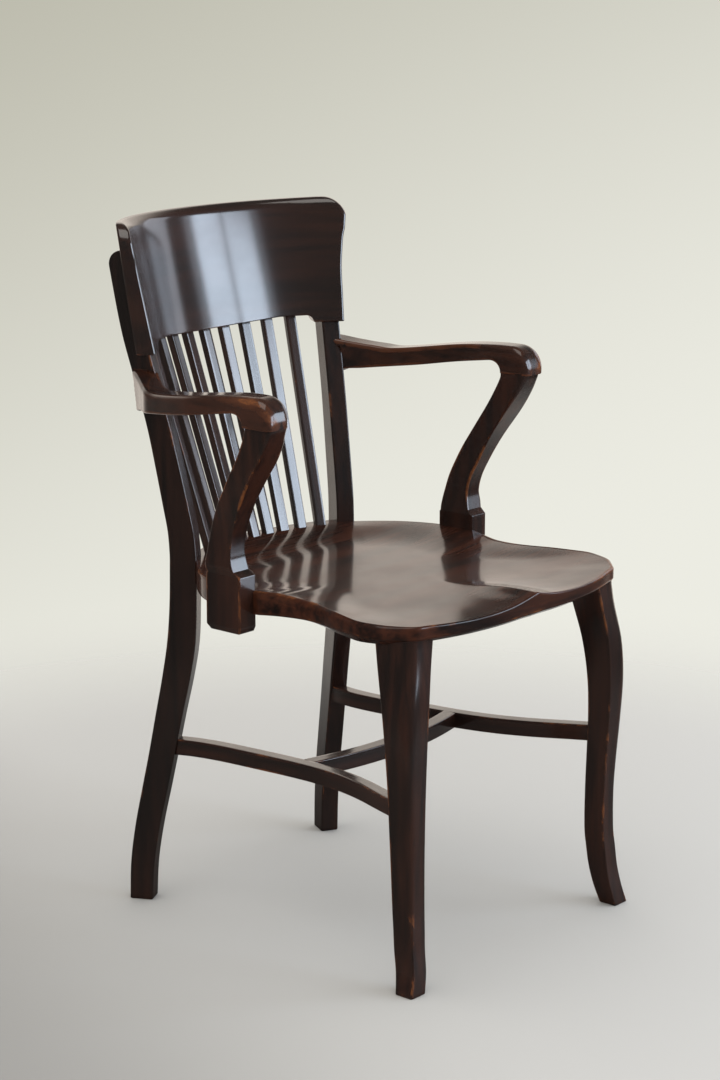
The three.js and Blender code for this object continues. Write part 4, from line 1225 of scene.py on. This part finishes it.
@dataclass
class BarSweeper:
    """A geometry nodes tree that sweeps a square bar with eased arrises along a path."""

    name: str = "square_bar"
    ease: float = 0.0009  # metres, the radius of each arris
    board_shift: float = 1.7  # metres between the grains of two bars of one piece

    def __post_init__(self) -> None:
        """Builds the tree once."""
        self.tree = bpy.data.node_groups.new(self.name, "GeometryNodeTree")
        self._build()

    def _socket(self, name: str, kind: str, value: float | None, is_input: bool = True) -> str:
        """Adds a named socket to the tree and returns its identifier."""
        way = "INPUT" if is_input else "OUTPUT"
        made = self.tree.interface.new_socket(name=name, in_out=way, socket_type=kind)
        if value is not None:
            made.default_value = value
        return made.identifier

    def _build(self) -> None:
        """Lays out the nodes: profile, sweep, grain, arris distance and material."""
        self._socket("Geometry", "NodeSocketGeometry", None, False)
        self._socket("Path", "NodeSocketGeometry", None)
        self.width = self._socket("Width", "NodeSocketFloat", 0.0175)
        self.height = self._socket("Height", "NodeSocketFloat", 0.0205)
        self.finish = self._socket("Finish", "NodeSocketMaterial", None)
        kit = NodeKit(self.tree)
        source = self.tree.nodes.new("NodeGroupInput")
        path, width, height, finish = (Flow(kit, socket) for socket in source.outputs[:4])
        number, vector = {"data_type": "FLOAT"}, {"data_type": "FLOAT_VECTOR"}

        def named(name: str, kind: dict[str, str]) -> Flow:
            """Reads an attribute."""
            return kit.node("GeometryNodeInputNamedAttribute", kind, {"Name": name})

        def stored(geometry: Flow, name: str, kind: dict[str, str], value: Flow) -> Flow:
            """Stores an attribute with each point."""
            inputs = {"Geometry": geometry, "Name": name, "Value": value}
            settings = {**kind, "domain": "POINT"}
            return kit.node("GeometryNodeStoreNamedAttribute", settings, inputs)

        line = kit.node("GeometryNodeMeshToCurve", {}, {"Mesh": path})
        inputs = {"Curve": line, "Normal": named("side", vector)}
        line = kit.node("GeometryNodeSetCurveNormal", {"mode": "FREE"}, inputs)
        length = kit.node("GeometryNodeSplineParameter", {}, {}, "Length")
        line = stored(line, "run", number, length)
        inputs = {"Width": width, "Height": height}
        section = kit.node("GeometryNodeCurvePrimitiveQuadrilateral", {"mode": "RECTANGLE"}, inputs)
        inputs = {"Curve": section, "Radius": self.ease, "Count": 3}
        section = kit.node("GeometryNodeFilletCurve", {"mode": "POLY"}, inputs)
        section = kit.node("GeometryNodeSubdivideCurve", {}, {"Curve": section, "Cuts": 4})
        place = kit.node("GeometryNodeInputPosition", {}, {})
        section = stored(section, "section", vector, place)
        inputs = {"Curve": line, "Profile Curve": section, "Fill Caps": True}
        bar = kit.node("GeometryNodeCurveToMesh", {}, inputs)
        across, up = (
            kit.node("ShaderNodeSeparateXYZ", {}, {0: named("section", vector)}, k) for k in (0, 1)
        )
        run = named("run", number) + named("board", number)
        grain = kit.node("ShaderNodeCombineXYZ", {}, {0: run, 1: across, 2: up})
        inputs = {0: grain, "Scale": 1 / MILLIMETRE}
        grain = kit.node("ShaderNodeVectorMath", {"operation": "SCALE"}, inputs)
        gaps = [
            size * 0.5 - kit.node("ShaderNodeMath", {"operation": "ABSOLUTE"}, {0: part})
            for size, part in ((width, across), (height, up))
        ]
        gap = kit.node("ShaderNodeMath", {"operation": "MAXIMUM"}, dict(enumerate(gaps)))
        bar = stored(bar, "grain", vector, grain)
        bar = stored(bar, "arris", number, (gap - self.ease) * (1 / MILLIMETRE))
        bar = kit.node("GeometryNodeRealizeInstances", {}, {"Geometry": bar})
        bar = kit.node("GeometryNodeSetMaterial", {}, {"Geometry": bar, "Material": finish})
        kit.node("NodeGroupOutput", {}, {0: bar})

    def sweep(
        self,
        name: str,
        paths: Sequence[tuple[Numbers, Numbers]],
        size: tuple[float, float],
        finish: bpy.types.Material,
    ) -> bpy.types.Mesh:
        """Sweeps a bar along each path.

        Args:
            name: of the mesh.
            paths: for each bar its places, in rows of x, y and z, and its side directions.
            size: the bar's width and height.
            finish: its material.

        Returns:
            The bars as one plain mesh, in the frame's metres.
        """
        places = np.vstack([path for path, _ in paths]) * MILLIMETRE
        places[:, 1] += DATUM_Y
        sides = np.vstack([side for _, side in paths])
        edges, boards, start = [], [], 0
        for k, (path, _) in enumerate(paths):
            edges.extend((start + i, start + i + 1) for i in range(len(path) - 1))
            boards.extend([self.board_shift * k] * len(path))
            start += len(path)
        line = bpy.data.meshes.new(f"{name}_path")
        line.from_pydata(places.tolist(), edges, [])
        mark(line, "side", sides)
        mark(line, "board", np.array(boards))
        carrier = bpy.data.objects.new(f"{name}_carrier", line)
        bpy.context.scene.collection.objects.link(carrier)
        modifier = carrier.modifiers.new("bar", "NODES")
        modifier.node_group = self.tree
        modifier[self.width] = size[0] * MILLIMETRE
        modifier[self.height] = size[1] * MILLIMETRE
        modifier[self.finish] = finish
        seen = carrier.evaluated_get(bpy.context.evaluated_depsgraph_get())
        mesh = bpy.data.meshes.new_from_object(seen)
        mesh.name = name
        bpy.data.objects.remove(carrier)
        shade(mesh)
        return mesh


@dataclass
class BackSlats:
    """Nine straight bars fanned between the seat and the crest rail."""

    rail: CrestRail
    sweeper: BarSweeper
    count: int = 9
    width: float = 14
    thickness: float = 9.5
    seat_spread: float = 104.5
    rail_spread: float = 126.5
    setback: float = 13
    seat_front: float = 211.5
    seat_radius: float = 268
    seat_shares: Curve = Curve([(0, 0), (0.25, 0.234), (0.5, 0.469), (0.75, 0.727), (1, 1)])

    def build(self, finish: bpy.types.Material) -> None:
        """Makes the fan of slats as one piece.

        Args:
            finish: its material.
        """
        paths = []
        for place in np.linspace(-1, 1, self.count):
            spread = self.seat_spread * self.seat_shares(abs(place))
            angle = math.copysign(spread / self.seat_radius, place)
            foot = np.array(
                (self.seat_radius * math.sin(angle),
                 self.seat_front - self.seat_radius * (1 - math.cos(angle)), SEAT_TOP)
            )
            along = place * self.rail_spread
            head = np.array(self.rail.place(along, self.setback, self.rail.under_at(along)))
            turn = (angle + along / self.rail.radius) / 2
            side = np.array((math.cos(turn), -math.sin(turn), 0.0))
            back = np.array((math.sin(turn), math.cos(turn), 0.0))
            middle = back * self.thickness / 2
            rise = (head - foot) / (head[2] - foot[2])
            reach = np.linspace(-TUCK, head[2] - foot[2] + TUCK, 20)
            path = foot + middle + reach[:, None] * rise
            paths.append((path, np.tile(side, (len(path), 1))))
        nodes = [f"back_slat_{i + 1}" for i in range(self.count)]
        mesh = self.sweeper.sweep("back_slat_fan", paths, (self.width, self.thickness), finish)
        put(mesh, finish, nodes)


@dataclass
class Stretchers:
    """Two bowed side stretchers and the cross stretcher between them."""

    posts: RearPosts
    legs: FrontLegs
    sweeper: BarSweeper
    width: float = 17.5
    height: float = 20.5
    rear_top: float = 217.5
    front_top: float = 234.5
    waist: float = 142.5
    cross_width: float = 18.5
    cross_height: float = 19.5
    bow: float = 19
    cross_back: float = 0
    tenon: float = 1.5  # how far the cross stretcher runs into the side ones
    rear_bow: Curve = Curve([(0, 1), (0.063, 0.45), (0.15, 0.1), (0.27, 0), (1, 0)])
    front_bow: Curve = Curve(
        [(0, 0), (0.27, 0), (0.52, 0.037), (0.672, 0.17), (0.8, 0.43), (0.939, 0.84), (1, 1.02)]
    )

    def side_path(self, share: float) -> Numbers:
        """The middle of the left stretcher, from the post (0) to the front leg (1)."""
        rear_height = self.rear_top - self.height / 2
        front_height = self.front_top - self.height / 2
        rear_x, rear_y = self.posts.place(np.array([[0.0, self.posts.front_at(rear_height)]]))[0]
        left, right, _, high = self.legs.faces(front_height)
        middle = (left + right) / 2
        inside = min(max(share, 0.0), 1.0)
        x = self.waist + (rear_x - self.waist) * self.rear_bow(inside)
        x += (middle - self.waist) * self.front_bow(inside)
        return np.array((x, mix(rear_y, high, share), mix(rear_height, front_height, share)))

    @staticmethod
    def sides(path: Numbers) -> Numbers:
        """Level directions square to a path."""
        ahead = np.gradient(path, axis=0)
        ahead[:, 2] = 0
        ahead /= np.linalg.norm(ahead, axis=1)[:, None]
        return np.column_stack((ahead[:, 1], -ahead[:, 0], np.zeros(len(path))))

    def build(self, finish: bpy.types.Material) -> None:
        """Makes the three stretchers.

        Args:
            finish: their material.
        """
        left = np.array([self.side_path(float(s)) for s in np.linspace(-0.012, 1.012, 90)])
        for side in Side:
            path = left * (side.value, 1, 1)
            name = f"side_stretcher_{side.word}"
            paths = [(path, self.sides(path))]
            mesh = self.sweeper.sweep(f"{name}_bar", paths, (self.width, self.height), finish)
            put(mesh, finish, [name])
        start, end = self.side_path(0.0), self.side_path(1.0)
        beside = self.side_path((start[1] - self.cross_back) / (start[1] - end[1]))
        clear = beside[0] - self.width / 2
        half = clear + self.tenon
        across = np.linspace(-1, 1, 60)
        bowed = np.minimum(np.abs(across) * half / clear, 1.0)
        back = self.cross_back - self.bow * (1 - bowed**2)
        height = beside[2] + self.height / 2 - self.cross_height / 2
        path = np.column_stack((half * across, back, np.full(len(across), height)))
        paths = [(path, self.sides(path))]
        size = (self.cross_width, self.cross_height)
        mesh = self.sweeper.sweep("cross_stretcher_bar", paths, size, finish)
        put(mesh, finish, ["cross_stretcher"])


@dataclass
class HiddenFixings:
    """The dowels, screws and plugs, which keep the frame's own shapes."""

    def build(self, **finishes: bpy.types.Material) -> None:
        """Gives each fixing its finish.

        Args:
            finishes: each for the nodes that have its keyword in their names.
        """
        for name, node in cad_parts.items():
            for word, finish in finishes.items():
                if word in name:
                    for slot in node.material_slots:
                        slot.material = finish
                    log.info("%s: finished as %s", name, finish.name)


# The studio

AWAY = (0.756, 0.6546, 0.0)  # level, the way the camera looks
ACROSS = (0.6546, -0.756, 0.0)  # level, to the camera's right
MIDDLE = (0.0, 0.0, 0.6)  # metres, the place that the lamps face


@dataclass(frozen=True)
class Lamp:
    """A rectangular lamp that faces the chair."""

    name: str
    azimuth: float  # degrees from the front towards the sitter's left
    elevation: float  # degrees above the level of MIDDLE
    distance: float  # metres from MIDDLE
    size: tuple[float, float]  # width and height, in metres
    power: float  # watts
    colour: Colour

    def build(self) -> None:
        """Adds the lamp to the scene."""
        data = bpy.data.lights.new(self.name, "AREA")
        data.shape, data.size, data.size_y = "RECTANGLE", *self.size
        data.energy, data.color = self.power, self.colour
        lamp = bpy.data.objects.new(self.name, data)
        turn, tilt = math.radians(self.azimuth), math.radians(self.elevation)
        ahead = -math.cos(turn) * math.cos(tilt)
        way = Vector((math.sin(turn) * math.cos(tilt), ahead, math.sin(tilt)))
        lamp.location = Vector(MIDDLE) + way * self.distance
        lamp.rotation_euler = way.to_track_quat("Z", "Y").to_euler()
        bpy.context.scene.collection.objects.link(lamp)


@dataclass
class Studio:
    """The camera, a pale floor in a pale room, and soft light from a tall window."""

    eye: tuple[float, float, float] = (-2583.0, -2200.9, 1289.1)
    back: tuple[float, float, float] = (-0.7353, -0.6367, 0.2319)
    lens: float = 93.64
    sensor: float = 36.0
    lamps: Sequence[Lamp] = (
        Lamp("window_pane_left", 19, 11, 2.6, (0.8, 1.35), 15, (0.72, 0.84, 1.0)),
        Lamp("window_pane_right", 41, 11, 2.6, (0.9, 1.35), 15, (0.72, 0.84, 1.0)),
        Lamp("window_reveal", 31, 11, 2.7, (2.6, 1.6), 9, (0.78, 0.87, 1.0)),
        Lamp("side_wall_bounce", 86, 12, 2.8, (1.2, 1.5), 8, (0.82, 0.88, 1.0)),
        Lamp("ceiling_bounce", -60, 80, 3.2, (2.2, 2.2), 16, (1.0, 0.96, 0.9)),
    )

    def build(self) -> None:
        """Makes the whole studio."""
        self._camera()
        self._ground()
        self._world()
        for lamp in self.lamps:
            lamp.build()
        scene = bpy.context.scene
        scene.view_settings.view_transform = "Standard"

    def _camera(self) -> None:
        """Sets the camera at the photograph's place and angle."""
        data = bpy.data.cameras.new("camera")
        data.lens, data.sensor_width, data.sensor_fit = self.lens, self.sensor, "AUTO"
        data.clip_end = 100
        camera = bpy.data.objects.new("camera", data)
        back, right = Vector(self.back).normalized(), Vector(ACROSS).normalized()
        up = back.cross(right)
        turn = Matrix((right, up, back)).transposed().to_4x4()
        eye = Vector(self.eye) * MILLIMETRE + Vector((0, DATUM_Y, 0))
        camera.matrix_world = Matrix.Translation(eye) @ turn
        bpy.context.scene.collection.objects.link(camera)
        bpy.context.scene.camera = camera

    @staticmethod
    def _ground() -> None:
        """Lays a pale floor, painted darker at its near left as painted shade, that fades into the
        background.
        """
        reach = 4.0
        corners = [(-reach, -reach, 0), (reach, -reach, 0), (reach, reach, 0), (-reach, reach, 0)]
        mesh = bpy.data.meshes.new("pale_floor")
        mesh.from_pydata(corners, [], [(0, 1, 2, 3)])
        floor = bpy.data.objects.new("pale_floor", mesh)
        bpy.context.scene.collection.objects.link(floor)
        material = bpy.data.materials.new("pale_floor")
        kit = NodeKit.of(material)
        place = kit.node("ShaderNodeTexCoord", {}, {}, "Object")
        depth, wide = kit.along(place, AWAY), kit.along(place, ACROSS)
        # painted shade: the floor's own colour darkens towards the near left, standing in for light
        # that falls off there
        painted_light_share = (wide * 1.3 + depth * 0.7).between(-1.05, -0.1)
        ground = kit.blend(painted_light_share, (0.27, 0.265, 0.255), (0.46, 0.455, 0.44))
        # painted shade: in the polish's reflections the floor near the chair is painted near-black,
        # standing in for the room's shade
        glossy = kit.node("ShaderNodeLightPath", {}, {}, "Is Glossy Ray")
        mirrored = kit.blend(depth.between(0.3, 1.2), (0.05, 0.045, 0.04), ground)
        ground = kit.blend(glossy, ground, mirrored)
        solid = kit.node("ShaderNodeBsdfPrincipled", {}, {"Base Color": ground, "Roughness": 0.8})
        clear = kit.node("ShaderNodeBsdfTransparent", {}, {})
        radius = kit.node("ShaderNodeVectorMath", {"operation": "LENGTH"}, {0: place}, "Value")
        fade = {0: radius.between(0.75, 1.55), 1: solid, 2: clear}
        surface = kit.node("ShaderNodeMixShader", {}, fade)
        kit.node("ShaderNodeOutputMaterial", {}, {"Surface": surface})
        mesh.materials.append(material)

    @staticmethod
    def _world() -> None:
        """Fills the room: pale to the camera, and in the polish pale only behind the chair."""
        world = bpy.data.worlds.new("room")
        kit = NodeKit.of(world)
        way = kit.node("ShaderNodeTexCoord", {}, {}, "Generated")
        rise, wide = kit.along(way, (0, 0, 1)), kit.along(way, ACROSS)
        # painted light: the backdrop seen by the camera is painted lighter towards the right and
        # below
        side_light = (wide * 0.5 - rise).between(-0.1, 0.3)
        seen = kit.blend(side_light, (0.475, 0.465, 0.385), (0.84, 0.838, 0.765))
        wall = kit.along(way, AWAY).between(0.15, 0.45) * (1.0 - wide.between(0.34, 0.73))
        wall = wall * (1.0 - rise.between(0.33, 0.66)) * wide.between(-0.9, -0.45)
        mirrored = kit.blend(wall, (0.05, 0.045, 0.042), (0.96, 0.86, 0.76))
        glossy = kit.node("ShaderNodeLightPath", {}, {}, "Is Glossy Ray")
        camera = kit.node("ShaderNodeLightPath", {}, {}, "Is Camera Ray")
        colour = kit.blend(glossy, (1.25, 1.22, 1.17), mirrored)
        colour = kit.blend(camera, colour, seen)
        shader = kit.node("ShaderNodeBackground", {}, {"Color": colour, "Strength": 1.0})
        kit.node("ShaderNodeOutputWorld", {}, {"Surface": shader})
        bpy.context.scene.world = world


def main() -> None:
    """Builds the chair and its studio."""
    frame_polish = Polish(
        "frame_polish", deep=(0.0048, 0.0019, 0.0013), warm=(0.02, 0.0063, 0.0033), wear=0.2
    ).material()
    leg_polish = Polish("leg_polish", wear=0.3, reach=2.0).material()
    slat_polish = Polish("slat_polish", wear=0.1, film=0.16, lustre=2.2).material()
    seat_polish = Polish(
        "seat_polish", warm=(0.05, 0.0132, 0.0054), wear=0.26, reach=2.8, film=0.12, lustre=1.5
    ).material()
    crest_polish = Polish("crest_polish", wear=0.2, film=0.15, figure=0.6, lustre=2.2).material()
    arm_polish = Polish("arm_polish", warm=(0.04, 0.0122, 0.0055), wear=0.55, reach=2.4).material()
    wood_tones = (0.46, 0.27, 0.11), (0.62, 0.4, 0.19)
    dowel = HiddenStock("bare_dowel", wood_tones, metallic=0.0, roughness=0.55).material()
    steel_tones = (0.42, 0.43, 0.44), (0.62, 0.63, 0.64)
    steel = HiddenStock("plain_steel", steel_tones, metallic=1.0, roughness=0.25).material()

    posts = RearPosts()
    legs = FrontLegs()
    seat = Seat()
    rail = CrestRail(posts)
    supports = ArmSupports()
    sweeper = BarSweeper()
    seat.build(seat_polish)
    posts.build(frame_polish)
    legs.build(leg_polish, seat)
    rail.build(crest_polish)
    supports.build(leg_polish)
    Arms(posts, supports).build(arm_polish)
    BackSlats(rail, sweeper).build(slat_polish)
    Stretchers(posts, legs, sweeper).build(leg_polish)
    HiddenFixings().build(dowel=dowel, screw=steel, plug=frame_polish)
    Studio().build()


if __name__ == "__main__":
    main()
